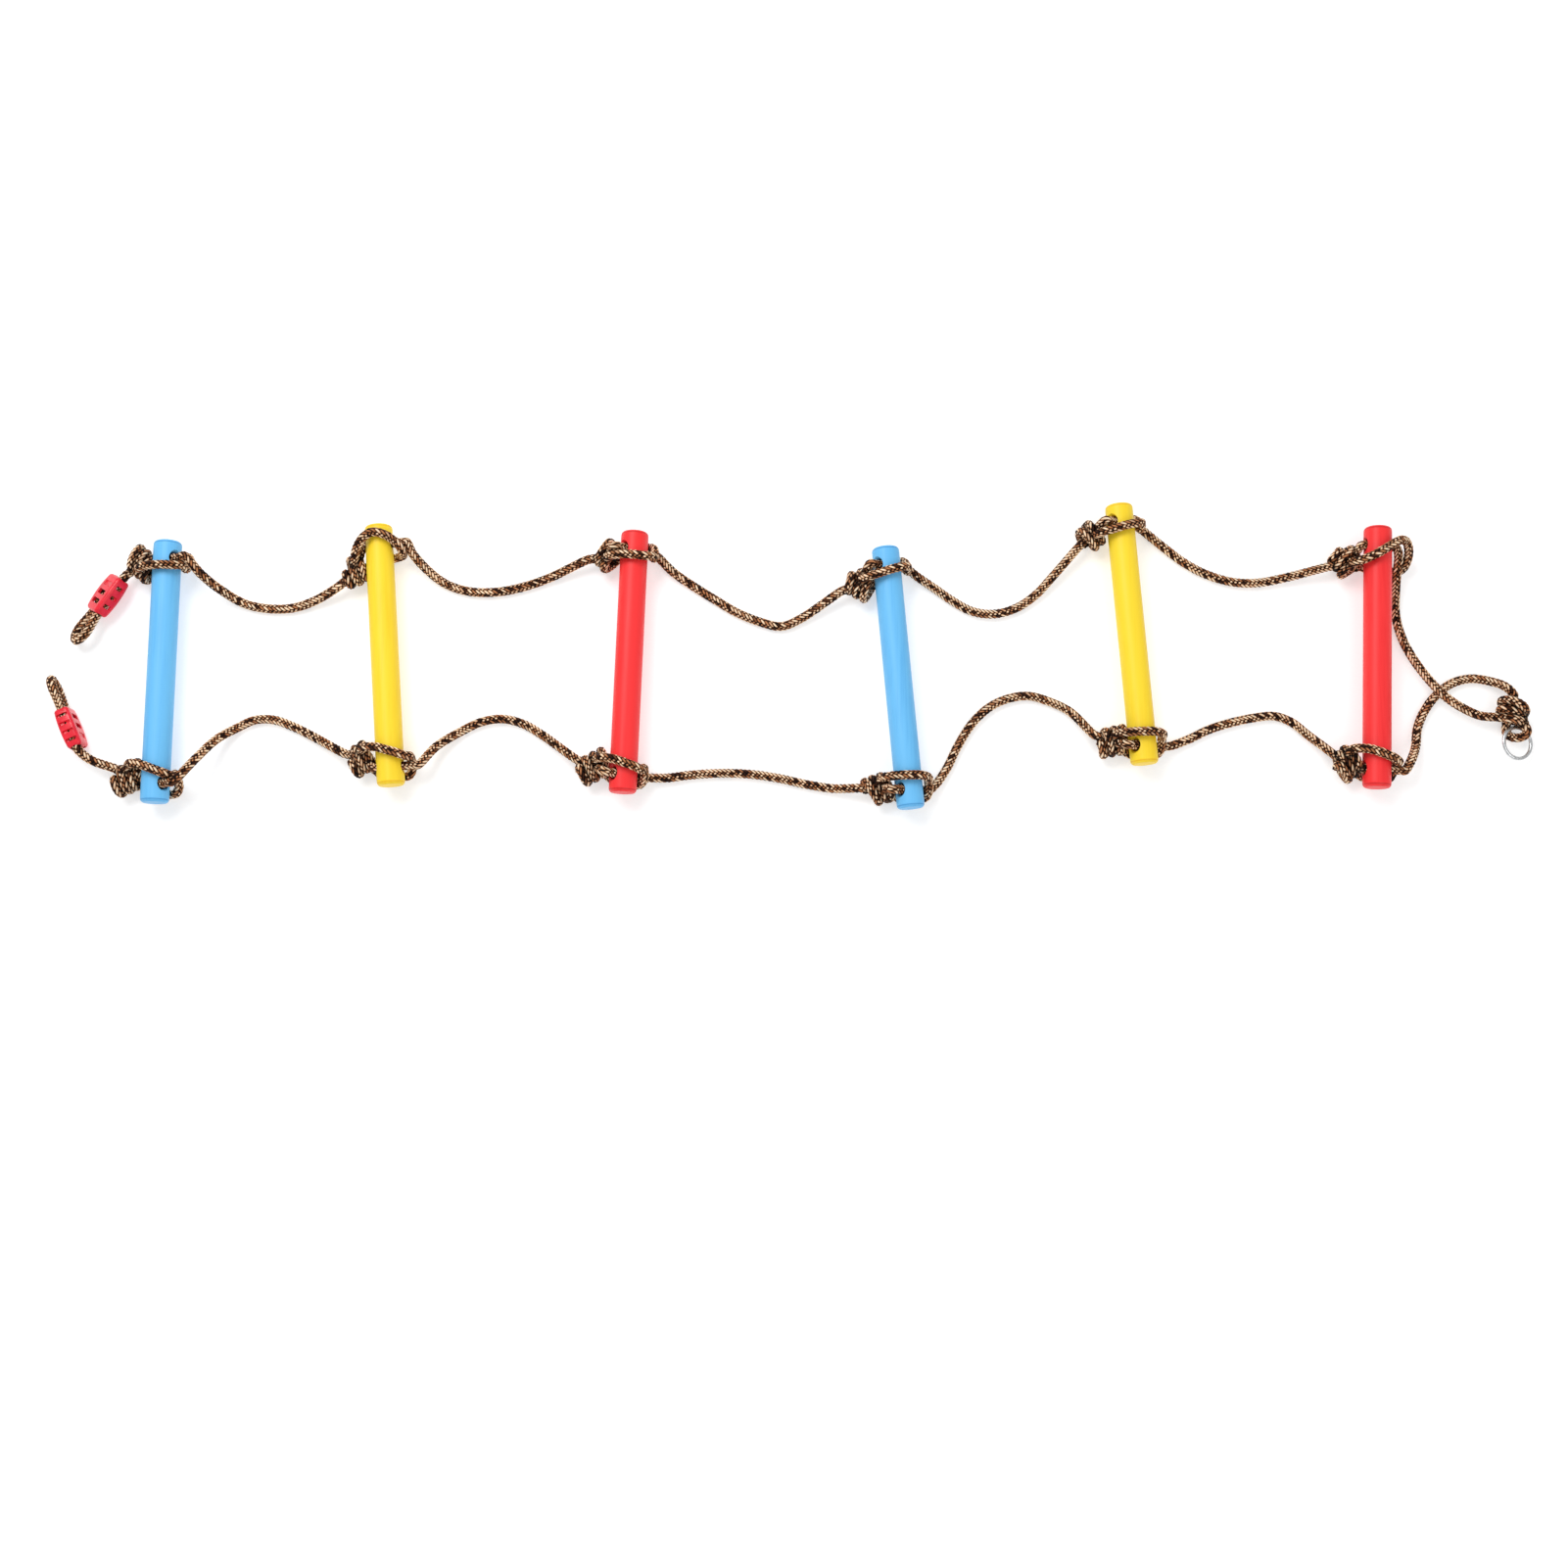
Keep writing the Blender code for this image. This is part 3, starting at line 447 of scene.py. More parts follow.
class Rung:
    """A rung's place, with the frame that its hitches and knots are laid out in."""

    def __init__(self, number):
        self.name, self.paint, x, y, turn, roll = RUNGS[number]
        self.number = number
        self.centre = np.array((x, y, RUNG_HEIGHT))
        self.turn, self.roll = math.radians(turn), math.radians(roll)
        self.up_ladder = np.array((math.cos(self.turn), math.sin(self.turn), 0))
        self.along = np.array((-math.sin(self.turn), math.cos(self.turn), 0))

    def rope_above(self, side):
        return f"{side}_{'bridle' if self.name == 'rung_6' else f'rope_{self.number + 1}'}"

    def place(self, side, up_ladder, outward, height):
        """A point beside a hole: up the ladder, outward along the rung, and up from the axis."""
        reach = SIDES[side] * (HOLE_REACH + outward)
        return self.centre + up_ladder * self.up_ladder + reach * self.along + np.array((0, 0, height))

    def local(self, side, points):
        return [self.place(side, *(value * MM for value in point)) for point in points]

    def hole_point(self, side, distance):
        """A point on a hole's axis, so far up the ladder from the rung's axis."""
        return self.place(side, distance * math.cos(self.roll), 0, distance * math.sin(self.roll))

    def knot_centre(self, side):
        spot = self.place(side, -KNOT_BEHIND_RUNG, -KNOTS_INWARD[side][self.number] * MM, 0)
        return np.array((spot[0], spot[1], KNOT_HEIGHT))

    def knot_direction(self, side):
        heading = math.radians(KNOT_HEADINGS[side][self.number])
        return np.array((math.cos(heading), math.sin(heading), 0))

    def knot_exit(self, side):
        return self.knot_centre(side) + self.knot_direction(side) * KNOT_LENGTH / 2

    def push_off(self, points, clearance):
        """Keep a line's points this far from the rung's axis, and above the surface."""
        points = points.copy()
        offset = points - self.centre
        lengthwise = offset @ self.along
        radial = offset - lengthwise[:, None] * self.along
        distance = np.linalg.norm(radial, axis=1)
        beside = (np.abs(lengthwise) < RUNG_LENGTH / 2 + 0.002) & (distance < clearance)
        push = (clearance - distance)[:, None] * radial / np.maximum(distance, 1e-6)[:, None]
        points[beside] += push[beside]
        points[:, 2] = np.maximum(points[:, 2], LOW)
        return points


rungs = [Rung(number) for number in range(len(RUNGS))]
# Along a hole's axis: where a rope enters it and passes its middle, where one that rises from its
# knot bends before it, and where one that turns off outward leaves it.
HOLE_PATH = (-0.016, -0.010, 0)
BEND_BEFORE_HOLE = -0.0235
TURN_AFTER_HOLE = 0.0135
KNOT_CORE = (0.001, 0, 0.003)  # from a knot's middle, where the long rope runs through it
LEG_TUCK = 0.007  # how far a leg's end goes on into the bridle knot


def adjuster_frame(side):
    mouth, heading, roll, _ = TAILS[side]
    turn = Matrix.Rotation(math.radians(heading), 4, "Z")
    return Matrix.Translation(mouth) @ turn @ Matrix.Rotation(math.radians(roll), 4, "X")


def in_adjuster(side, points):
    place = adjuster_frame(side)
    return [np.array(place @ Vector(point)) for point in points]


def tail_points(side):
    """From the rope's end through the adjuster, round the loop, back through it and up."""
    bores = (0.010, ADJUSTER_LENGTH * 0.6)
    half = LOOP_HALF_WIDTHS[side]
    middle = -BORE_SPACING / 2
    half_loop = [(ADJUSTER_LENGTH + 0.001, BORE_SPACING / 2)]
    half_loop += [(ADJUSTER_LENGTH + reach * LOOP_OUTSIDE, share * half) for reach, share in LOOP_SHAPE]
    loop = [(along, -across) for along, across in half_loop]
    loop += [(ADJUSTER_LENGTH + LOOP_OUTSIDE, 0)] + half_loop[::-1]
    places = [(0.0025, -BORE_SPACING, 0), *((x, -BORE_SPACING, 0) for x in bores)]
    places += [(along, across + middle, 0) for along, across in loop]
    places += [(x, 0, 0) for x in (*bores[::-1], -0.001)]
    return in_adjuster(side, places) + [np.array(point) for point in reversed(TAILS[side][3])]


def divided(points, cuts):
    """An evenly spaced curve through some points, and where it passes the points at the cuts."""
    fine, marks = [], []
    smooth = curve_through(points)
    edges = [0, *(SPAN_POINTS * cut for cut in cuts), len(smooth) - 1]
    for begin, end in zip(edges, edges[1:]):
        stretch = resample(smooth[begin : end + 1])
        marks.append(sum(len(part) for part in fine))
        fine.append(stretch[:-1] if end != edges[-1] else stretch)
    marks.append(sum(len(part) for part in fine) - 1)
    return np.vstack(fine), marks


def side_rope(side):
    """The long rope of one side, from its tail's end to the bridle, and where it is divided."""
    points = tail_points(side)
    points.append(rungs[0].knot_exit(side) + rungs[0].knot_direction(side) * STUB / 2)
    cuts = []
    for rung in rungs:
        leaving = rung.knot_direction(side)
        if rung.number:
            points.append(rung.knot_exit(side) + leaving * STUB)
        cuts.append(len(points))
        points.append(rung.knot_exit(side))
        core = rung.knot_centre(side) + KNOT_CORE
        bend = rung.hole_point(side, BEND_BEFORE_HOLE)
        if rung.roll >= 0:
            bend = core + 0.6 * (rung.hole_point(side, HOLE_PATH[0]) - core)
        points += [core, bend, *(rung.hole_point(side, distance) for distance in HOLE_PATH)]
        if HITCH_KINDS[side][rung.number] == "slanted":
            points.append(rung.hole_point(side, TURN_AFTER_HOLE))
            points += rung.local(side, TURNED_EXIT[:-1])
            end, before = rung.local(side, TURNED_EXIT[-1:])[0], points[-1]
        else:
            end, before = rung.hole_point(side, HITCH_END), rung.hole_point(side, 0)
        away = (end - before) / np.linalg.norm(end - before)
        cuts.append(len(points))
        points += [end, end + away * STUB]
        points += [np.array(point) for point in ROPE_ROUTES[rung.rope_above(side)]]
    last, back = (np.array(value, float) for value in LEG_ENDS[f"{side}_bridle"])
    back = back / np.linalg.norm(back)
    points += [last + back * STUB, last, last - back * LEG_TUCK]
    return divided(points, cuts)


# Each knot's lay: the middle's place beside the CAD knot's (up the ladder, and towards +Y, in mm),
# the way its turns run along, degrees about Z from +X, how many turns, its half width, the turns'
# spacing and slant, whether the last turn crosses over the others, and where the turns begin.
KNOT_LAYS = {
    "left": (
        (3.0, 2.0, 140, 3.3, 11.0, 8.4, -0.20, False, 200),
        (3.5, 4.0, 20, 2.4, 12.0, 8.8, 0.15, False, 90),
        (2.0, 2.0, 132, 2.6, 11.5, 8.8, -0.15, True, 180),
        (3.0, 0.5, 152, 3.0, 11.5, 8.6, -0.10, False, 150),
        (3.0, 0.5, 42, 2.7, 11.0, 8.8, 0.15, True, 250),
        (1.0, 3.0, 122, 2.8, 11.5, 8.6, -0.15, False, 160),
    ),
    "right": (
        (1.5, 0.0, 24, 3.5, 11.5, 8.6, 0.20, False, 30),
        (2.5, 1.0, 34, 3.0, 12.0, 8.6, 0.22, True, 60),
        (1.0, 0.5, 28, 3.7, 11.0, 8.9, 0.18, False, 10),
        (3.0, 0.0, 18, 3.1, 12.0, 8.6, -0.15, True, 300),
        (3.0, 0.0, 12, 3.1, 11.5, 8.6, 0.12, False, 80),
        (4.0, -1.0, 40, 2.8, 12.5, 8.8, 0.20, True, 20),
    ),
}
KNOT_HALF_HEIGHT = 0.0094
TURN_POINTS = 40  # on each turn, before it is resampled
CROSSING_TURN = 0.75  # of a turn goes over the others, where one does
CROSSING_RISE = 0.0065
CROSSING_BACK = 0.55  # how far it goes back, as a share of the turns' whole length
KNOT_SQUEEZE = 0.0003  # a knot's rope presses this far into its rung
HITCH_START = (0, 0, 0.004)  # from a knot's middle


def wound(centre, heading, turns, half_width, pitch, slant, crosses, start):
    """The middle line of a rope wound round a line through a centre, its ends tucked inside."""
    heading = math.radians(heading)
    axis = np.array((math.cos(heading), math.sin(heading), 0))
    across = np.array((-math.sin(heading), math.cos(heading), 0))
    up = np.array((0, 0, 1.0))
    count = int(turns * TURN_POINTS)
    share = np.linspace(0, 1, count)
    angle = math.radians(start) + 2 * math.pi * turns * share
    along = (share - 0.5) * turns * pitch
    ends = np.minimum(1, np.minimum(share, 1 - share) * turns * 4)
    reach = 0.25 + 0.75 * np.sin(ends * math.pi / 2)
    wide = half_width * reach
    tall = KNOT_HALF_HEIGHT * reach
    if crosses:
        late = np.clip((share - (1 - CROSSING_TURN / turns)) * turns / CROSSING_TURN, 0, 1)
        tall = tall + CROSSING_RISE * np.sin(late * math.pi)
        along = along - CROSSING_BACK * turns * pitch * late * late * (3 - 2 * late)
    offset = along + slant * wide * np.cos(angle)
    return (
        centre
        + offset[:, None] * axis
        + (wide * np.cos(angle))[:, None] * across
        + (tall * np.sin(angle))[:, None] * up
    )


def crossing(lower, upper):
    """The strand's way over the rung, between its places at the rung's two edges."""
    begin, end = CROSSING_SHIFT
    over = [
        (along, lower + (upper - lower) * min(1, max(0, (along - begin) / (end - begin))), height)
        for along, height in CROSSING_HEIGHTS
    ]
    along, outward, height = CROSSING_END
    return (*over, (along, upper + outward, height))


def hitch_line(rung, side):
    """From the knot over the rung, round the rope that leaves the hole, and back under the rung."""
    centre = rung.knot_centre(side)
    edges = CROSSINGS[side][rung.number]
    turns = HITCHES[HITCH_KINDS[side][rung.number]]
    if edges:
        turns = crossing(*edges) + turns
    points = [centre + HITCH_START, *rung.local(side, turns), centre]
    return resample(curve_through(points))


def knot_line(rung, side):
    """The middle line of a knot's turns, kept off its rung."""
    lay = KNOT_LAYS[side][rung.number]
    shift_x, shift_y, heading, turns, half_width, pitch, slant, crosses, start = lay
    centre = rung.knot_centre(side) + np.array((shift_x, shift_y, 0)) * MM
    line = wound(centre, heading, turns, half_width * MM, pitch * MM, slant, crosses, start)
    line = rung.push_off(resample(line), RUNG_RADIUS + ROPE_RADIUS - KNOT_SQUEEZE)
    return resample(relax(line))


# ---- materials


def new_material(name, specular=0.5):
    material = bpy.data.materials.new(name)
    material.use_nodes = True
    tree = material.node_tree
    shader = tree.nodes["Principled BSDF"]
    shader.inputs["Specular IOR Level"].default_value = specular
    return material, tree, shader


def ramp(tree, source, stops):
    item = tree.nodes.new("ShaderNodeValToRGB")
    while len(item.color_ramp.elements) < len(stops):
        item.color_ramp.elements.new(0.5)
    for element, (position, colour) in zip(item.color_ramp.elements, stops):
        element.position = position
        element.color = (*colour, 1.0)
    tree.links.new(source, item.inputs["Fac"])
    return item.outputs["Color"]


def feed(tree, sockets, values):
    """Link each value to its socket, or set it there."""
    for socket, value in zip(sockets, values):
        if isinstance(value, bpy.types.NodeSocket):
            tree.links.new(value, socket)
        elif value is not None:
            socket.default_value = value


def mixed(tree, factor, a, b, mode="MIX"):
    item = tree.nodes.new("ShaderNodeMix")
    item.data_type = "RGBA"
    item.blend_type = mode
    feed(tree, (item.inputs[0], item.inputs[6], item.inputs[7]), (factor, a, b))
    return item.outputs[2]


def maths(tree, operation, a, b=None, c=None):
    item = tree.nodes.new("ShaderNodeMath")
    item.operation = operation
    feed(tree, item.inputs, (a, b, c))
    return item.outputs[0]


def attribute(tree, name):
    item = tree.nodes.new("ShaderNodeAttribute")
    item.attribute_name = name
    return item.outputs["Fac"]


def noise(tree, vector, scale, detail, roughness=0.5):
    item = tree.nodes.new("ShaderNodeTexNoise")
    item.inputs["Scale"].default_value = scale
    item.inputs["Detail"].default_value = detail
    item.inputs["Roughness"].default_value = roughness
    tree.links.new(vector, item.inputs["Vector"])
    return item.outputs["Fac"]


def bump(tree, shader, height, strength, distance):
    item = tree.nodes.new("ShaderNodeBump")
    item.inputs["Strength"].default_value = strength
    item.inputs["Distance"].default_value = distance
    tree.links.new(height, item.inputs["Height"])
    tree.links.new(item.outputs["Normal"], shader.inputs["Normal"])


def scaled_coordinates(tree, scale=(1, 1, 1)):
    place = tree.nodes.new("ShaderNodeTexCoord")
    mapping = tree.nodes.new("ShaderNodeMapping")
    mapping.inputs["Scale"].default_value = scale
    tree.links.new(place.outputs["Object"], mapping.inputs["Vector"])
    return mapping.outputs["Vector"]


def roughen(tree, shader, source, spread, least):
    rough = maths(tree, "MULTIPLY_ADD", source, spread, least)
    tree.links.new(rough, shader.inputs["Roughness"])


def rope_material():
    """Braided brown fibre: painted shade between the strands and in the gaps where strands lie together,
    tan flecks with painted highlights where they ride over.
    """
    material, tree, shader = new_material("braided_rope", 0.08)
    lift, tone = attribute(tree, "lift"), attribute(tree, "tone")
    # Along the braid's relief: painted shade, near black, in the gaps between the strands, and painted
    # highlight, paler up to near white, on the strands' tops.
    brown = ramp(tree, lift, (
        (0.0, (0.004, 0.0012, 0.0006)), (0.52, (0.008, 0.0025, 0.001)), (0.68, (0.20, 0.066, 0.022)),
        (1.0, (0.66, 0.28, 0.12)),
    ))
    tan = ramp(tree, lift, (
        (0.0, (0.004, 0.0012, 0.0006)), (0.50, (0.012, 0.004, 0.0015)), (0.62, (0.54, 0.235, 0.10)),
        (0.76, (1.0, 0.65, 0.39)), (0.95, (1.0, 0.87, 0.65)),
    ))
    pale = ramp(tree, tone, ((0.40, (0, 0, 0)), (0.54, (1, 1, 1))))
    colour = mixed(tree, pale, brown, tan)
    # Some flecks at random go nearly black: painted shade standing in for the holes between the strands.
    dark = ramp(tree, tone, ((0.21, (0.09, 0.06, 0.045)), (0.29, (1, 1, 1))))
    colour = mixed(tree, 1.0, colour, dark, "MULTIPLY")
    blotch = noise(tree, scaled_coordinates(tree), 60, 2)
    shade = ramp(tree, blotch, ((0.3, (0.80, 0.76, 0.74)), (0.7, (1, 1, 1))))
    colour = mixed(tree, 1.0, colour, shade, "MULTIPLY")
    # Painted shade in the gaps between a knot's turns and the ropes lying against them.
    deep = ramp(tree, attribute(tree, "crease_shade"), (
        (0.0, (1, 1, 1)), (0.5, (0.60, 0.56, 0.53)), (0.9, (0.05, 0.04, 0.035)),
    ))
    colour = mixed(tree, 1.0, colour, deep, "MULTIPLY")
    tree.links.new(colour, shader.inputs["Base Color"])
    strands = tree.nodes.new("ShaderNodeUVMap")
    strands.uv_map = "strands"
    fine = tree.nodes.new("ShaderNodeMapping")
    fine.inputs["Scale"].default_value = (7, 7, 1)
    tree.links.new(strands.outputs["UV"], fine.inputs["Vector"])
    fibre = noise(tree, fine.outputs["Vector"], 1.0, 3, 0.6)
    height = maths(tree, "MULTIPLY_ADD", fibre, 0.35, lift)
    bump(tree, shader, height, 0.6, 0.0006)
    roughen(tree, shader, fibre, 0.25, 0.36)
    return material


def paint_material(name, colour, edge, streak):
    """Satin paint over a turned dowel, with its grain just showing and painted shade at its ends and
    holes.
    """
    material, tree, shader = new_material(name, 0.3)
    grain = noise(tree, scaled_coordinates(tree, (1, 0.035, 1)), 420, 5, 0.6)
    slow = noise(tree, scaled_coordinates(tree, (1, 0.12, 1)), 55, 3)
    tint = ramp(tree, maths(tree, "MULTIPLY_ADD", grain, 0.5, maths(tree, "MULTIPLY", slow, 0.5)), (
        (0.36, streak), (0.52, colour), (0.70, colour),
    ))
    # Painted shade on the turned line near each end, on the end chamfer and round each hole.
    rim_shade = ramp(tree, attribute(tree, "rim_shade"), ((0.0, (1, 1, 1)), (1.0, edge)))
    tree.links.new(mixed(tree, 1.0, tint, rim_shade, "MULTIPLY"), shader.inputs["Base Color"])
    mottle = noise(tree, scaled_coordinates(tree), 900, 3)
    height = maths(tree, "MULTIPLY_ADD", grain, 0.8, maths(tree, "MULTIPLY", mottle, 0.25))
    bump(tree, shader, height, 0.22, 0.0006)
    roughen(tree, shader, grain, 0.16, 0.34)
    return material


def plastic_material():
    """Glossy moulded red plastic with the mould's faint waviness."""
    material, tree, shader = new_material("adjuster_plastic", 0.35)
    wave = noise(tree, scaled_coordinates(tree), 160, 2)
    colour = ramp(tree, wave, ((0.3, (0.72, 0.012, 0.028)), (0.7, (0.90, 0.022, 0.045))))
    tree.links.new(colour, shader.inputs["Base Color"])
    speck = noise(tree, scaled_coordinates(tree), 1400, 2)
    bump(tree, shader, maths(tree, "MULTIPLY_ADD", speck, 0.15, wave), 0.12, 0.0008)
    roughen(tree, shader, speck, 0.14, 0.14)
    shader.inputs["Coat Weight"].default_value = 0.12
    shader.inputs["Coat Roughness"].default_value = 0.12
    return material


def zinc_material():
    """Bright zinc plate, a little clouded and scuffed."""
    material, tree, shader = new_material("zinc_steel")
    cloud = noise(tree, scaled_coordinates(tree), 260, 4, 0.55)
    colour = ramp(tree, cloud, ((0.3, (0.55, 0.56, 0.57)), (0.7, (0.80, 0.81, 0.82))))
    tree.links.new(colour, shader.inputs["Base Color"])
    scuff = noise(tree, scaled_coordinates(tree), 1600, 3, 0.6)
    bump(tree, shader, scuff, 0.08, 0.0004)
    roughen(tree, shader, cloud, 0.22, 0.16)
    shader.inputs["Metallic"].default_value = 1.0
    return material


ROPE = rope_material()
# Each paint's colour, its painted shade at the ends' turned line and chamfer and round the holes, and its
# streaks.
PAINT_COLOURS = {
    "blue_paint": ((0.158, 0.535, 0.93), (0.42, 0.56, 0.68), (0.130, 0.475, 0.875)),
    "yellow_paint": ((1.0, 0.725, 0.030), (0.86, 0.66, 0.42), (0.97, 0.665, 0.022)),
    "red_paint": ((0.98, 0.036, 0.038), (0.60, 0.40, 0.42), (0.90, 0.026, 0.030)),
}
PAINTS = {name: paint_material(name, *colours) for name, colours in PAINT_COLOURS.items()}

# ---- ropes


def finish_piece(piece, material, body=None):
    piece.data.materials.clear()
    piece.data.materials.append(material)
    if body:
        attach(piece, body)
    return piece


CORD_PATH_POINTS = 60
BESIDE_POINTS = 40  # of the long rope past each end of a knot
HITCH_TURN, COIL_TURN = 0.13, 0.37  # turns of the braid from one rung to the next


def declare(points):
    """Thin a rope's points to its way along, with its last point; the result is not kept."""
    path = points[:: max(1, len(points) // CORD_PATH_POINTS)]
    if np.linalg.norm(path[-1] - points[-1]) > 1e-9:
        path = np.vstack([path, points[-1]])


for side in SIDES:
    points, marks = side_rope(side)
    rope = RopeLine(points)
    tail = join_meshes(f"{side}_tail_rope", [
        rope_mesh("tail", rope, marks[0], marks[1], neighbours((rope, marks[0], marks[1])))
    ])
    finish_piece(tail, ROPE)
    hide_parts(f"{side}_tail", f"{side}_tail_loop")
    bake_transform(tail)
    declare(points[marks[0] : marks[1] + 1][::-1])
    for rung in rungs:
        number = rung.number + 1
        begin, end, until = marks[2 * number - 1 : 2 * number + 2]
        name = f"{side}_knot_{number}"
        hitch = RopeLine(hitch_line(rung, side), HITCH_TURN * number)
        coil = RopeLine(knot_line(rung, side), COIL_TURN * number)
        passing = (rope, begin - BESIDE_POINTS, end + BESIDE_POINTS)
        beside = neighbours(passing, whole(hitch), whole(coil))
        knot = join_meshes(f"{name}_rope", [
            rope_mesh(name, rope, begin, end, beside, 0),
            rope_mesh(name, *whole(hitch), beside, 1),
            rope_mesh(name, *whole(coil), beside, 2),
        ])
        finish_piece(knot, ROPE, f"rung_{number}")
        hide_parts(name)
        node_name = rung.rope_above(side)
        free = join_meshes(f"{node_name}_braid", [rope_mesh(node_name, rope, end, until)])
        finish_piece(free, ROPE)
        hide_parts(node_name)
        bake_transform(free)
        declare(points[end : until + 1])

# Its turns' middle beside the CAD knot's, and how they lie, as in KNOT_LAYS but in metres.
BRIDLE_SHIFT = (-0.0025, 0.001, 0)
BRIDLE_LAY = (78, 2.7, 0.0118, 0.0088, 0.22, True, 40)
bridle_turns = wound(np.array(BRIDLE_KNOT) + BRIDLE_SHIFT, *BRIDLE_LAY)
bridle_coil = RopeLine(resample(relax(resample(bridle_turns))), 0.2)
eye_points = [np.array(point) for point in EYE_ROUTE]
eye_points = [eye_points[0] + EYE_TUCKS[0], *eye_points, eye_points[-1] + EYE_TUCKS[1]]
eye_line = RopeLine(resample(curve_through(eye_points)), 0.5)
beside = neighbours(whole(bridle_coil), whole(eye_line))
bridle = join_meshes("bridle_knot_rope", [rope_mesh("bridle", *whole(bridle_coil), beside, 0)])
finish_piece(bridle, ROPE, "bridle")
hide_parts("bridle_knot")
eye = join_meshes("bridle_eye_rope", [rope_mesh("eye", *whole(eye_line), beside, 1)])
finish_piece(eye, ROPE, "bridle")
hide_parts("bridle_eye")

# ---- rungs


def boolean_cut(piece, cutter):
    step = piece.modifiers.new("cut", "BOOLEAN")
    step.operation = "DIFFERENCE"
    step.solver = "EXACT"
    step.object = cutter
    bpy.context.view_layer.update()
    graph = bpy.context.evaluated_depsgraph_get()
    mesh = bpy.data.meshes.new_from_object(piece.evaluated_get(graph), depsgraph=graph)
    piece.modifiers.clear()
    piece.data = mesh
    bpy.data.objects.remove(cutter, do_unlink=True)


def lathe(name, profile, segments):
    """A solid turned about Y from (distance along, radius) pairs, closed at both ends."""
    cage = bmesh.new()
    rings = []
    for along, radius in profile:
        if radius < 1e-9:
            rings.append([cage.verts.new((0, along, 0))])
            continue
        angles = (2 * math.pi * number / segments for number in range(segments))
        rings.append([
            cage.verts.new((radius * math.cos(angle), along, radius * math.sin(angle))) for angle in angles
        ])
    for first, second in zip(rings, rings[1:]):
        for number in range(segments):
            ahead = (number + 1) % segments
            corners = [first[number % len(first)], second[number % len(second)]]
            corners += [second[ahead % len(second)], first[ahead % len(first)]]
            cage.faces.new(list(dict.fromkeys(corners)))
    bmesh.ops.recalc_face_normals(cage, faces=cage.faces)
    return linked(name, mesh_from(cage, name))


# Inward from a rung's end, and the radius there: a rounded chamfer and a fine turned line.
RUNG_END = (
    (0, 0.0), (0, 0.0060), (0, 0.0108), (0.00012, 0.01155), (0.00045, 0.01222), (0.0011, 0.01290),
    (0.0018, 0.01345), (0.0022, 0.01366), (0.0026, 0.01368), (0.0030, 0.01380), (0.0036, 0.01395),
    (0.0048, RUNG_RADIUS), (0.0065, RUNG_RADIUS),
)
TURNED_LINE = 0.0026
RUNG_SIDES = 96
DRILL_SIDES = 56
MIDDLE_STEP = 0.0042  # between circles along a rung's middle
MIDDLE_STEPS = 30


def rung_profile():
    """A dowel's outline from end to end."""
    half = RUNG_LENGTH / 2
    plain = half - RUNG_END[-1][0]
    one_half = [(half - inward, radius) for inward, radius in RUNG_END]
    one_half += [(plain - MIDDLE_STEP * step, RUNG_RADIUS) for step in range(1, MIDDLE_STEPS + 1)]
    return [(-along, radius) for along, radius in one_half] + one_half[::-1]


def drill_profile():
    """A drill that leaves a wider mouth at each end of its hole."""
    wall = HOLE_RADIUS + 0.0005
    mouth = wall + 0.0021
    flare = [(0.0104, wall), (0.0114, wall + 0.0002), (0.0124, wall + 0.0007), (0.0140, mouth)]
    flare += [(0.030, mouth), (0.030, 0.0)]
    return [(-along, radius) for along, radius in flare[::-1]] + flare


for rung in rungs:
    piece = lathe(f"{rung.name}_dowel", rung_profile(), RUNG_SIDES)
    piece.matrix_world = Matrix.Translation(rung.centre) @ Matrix.Rotation(rung.turn, 4, "Z")
    for side in SIDES:
        place = Matrix.Translation(rung.hole_point(side, 0)) @ Matrix.Rotation(rung.turn, 4, "Z")
        place = place @ Matrix.Rotation(-rung.roll, 4, "Y") @ Matrix.Rotation(math.radians(90), 4, "Z")
        drill = lathe("drill", drill_profile(), DRILL_SIDES)
        drill.matrix_world = place
        boolean_cut(piece, drill)
    piece.data.transform(piece.matrix_world)
    piece.matrix_world = Matrix.Identity(4)
    corners = np.zeros(len(piece.data.vertices) * 3)
    piece.data.vertices.foreach_get("co", corners)
    offset = corners.reshape(-1, 3) - rung.centre
    lengthwise = offset @ rung.along
    from_end = RUNG_LENGTH / 2 - np.abs(lengthwise)
    # Where the paint gets painted shade: the fine turned line, the end chamfer, and round each hole's
    # mouth and wall.
    line_near = np.exp(-(((from_end - TURNED_LINE) / 0.0006) ** 2))
    chamfer = np.clip((0.0020 - from_end) / 0.0012, 0, 1) * 0.12
    rim_shade = np.maximum(line_near, chamfer)
    for side in SIDES:
        hole = offset - (rung.hole_point(side, 0) - rung.centre)
        axis = rung.hole_point(side, 1) - rung.hole_point(side, 0)
        deep = hole @ axis
        away = np.linalg.norm(hole - deep[:, None] * axis, axis=1)
        rim_shade = np.maximum(rim_shade, (away < HOLE_RADIUS + 0.0009) * (np.abs(deep) < 0.0116) * 1.0)
    layer = piece.data.attributes.new("rim_shade", "FLOAT", "POINT")
    layer.data.foreach_set("value", rim_shade.astype(np.float32))
    piece.data.shade_smooth()
    piece.data.set_sharp_from_angle(angle=math.radians(32))
    finish_piece(piece, PAINTS[rung.paint], rung.name)
    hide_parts(rung.name)

# ---- ring

RING_SEGMENTS = 144
WIRE_SIDES = 28
WELD_ANGLE = math.radians(250)
WELD_LENGTH = 0.0009
WELD_SWELL = 0.10


def skin(cage, rows):
    """Faces between each row of vertices and the next."""
    for first, second in zip(rows, rows[1:]):
        for step in range(len(first)):
            ahead = (step + 1) % len(first)
            cage.faces.new((first[step], second[step], second[ahead], first[ahead]))


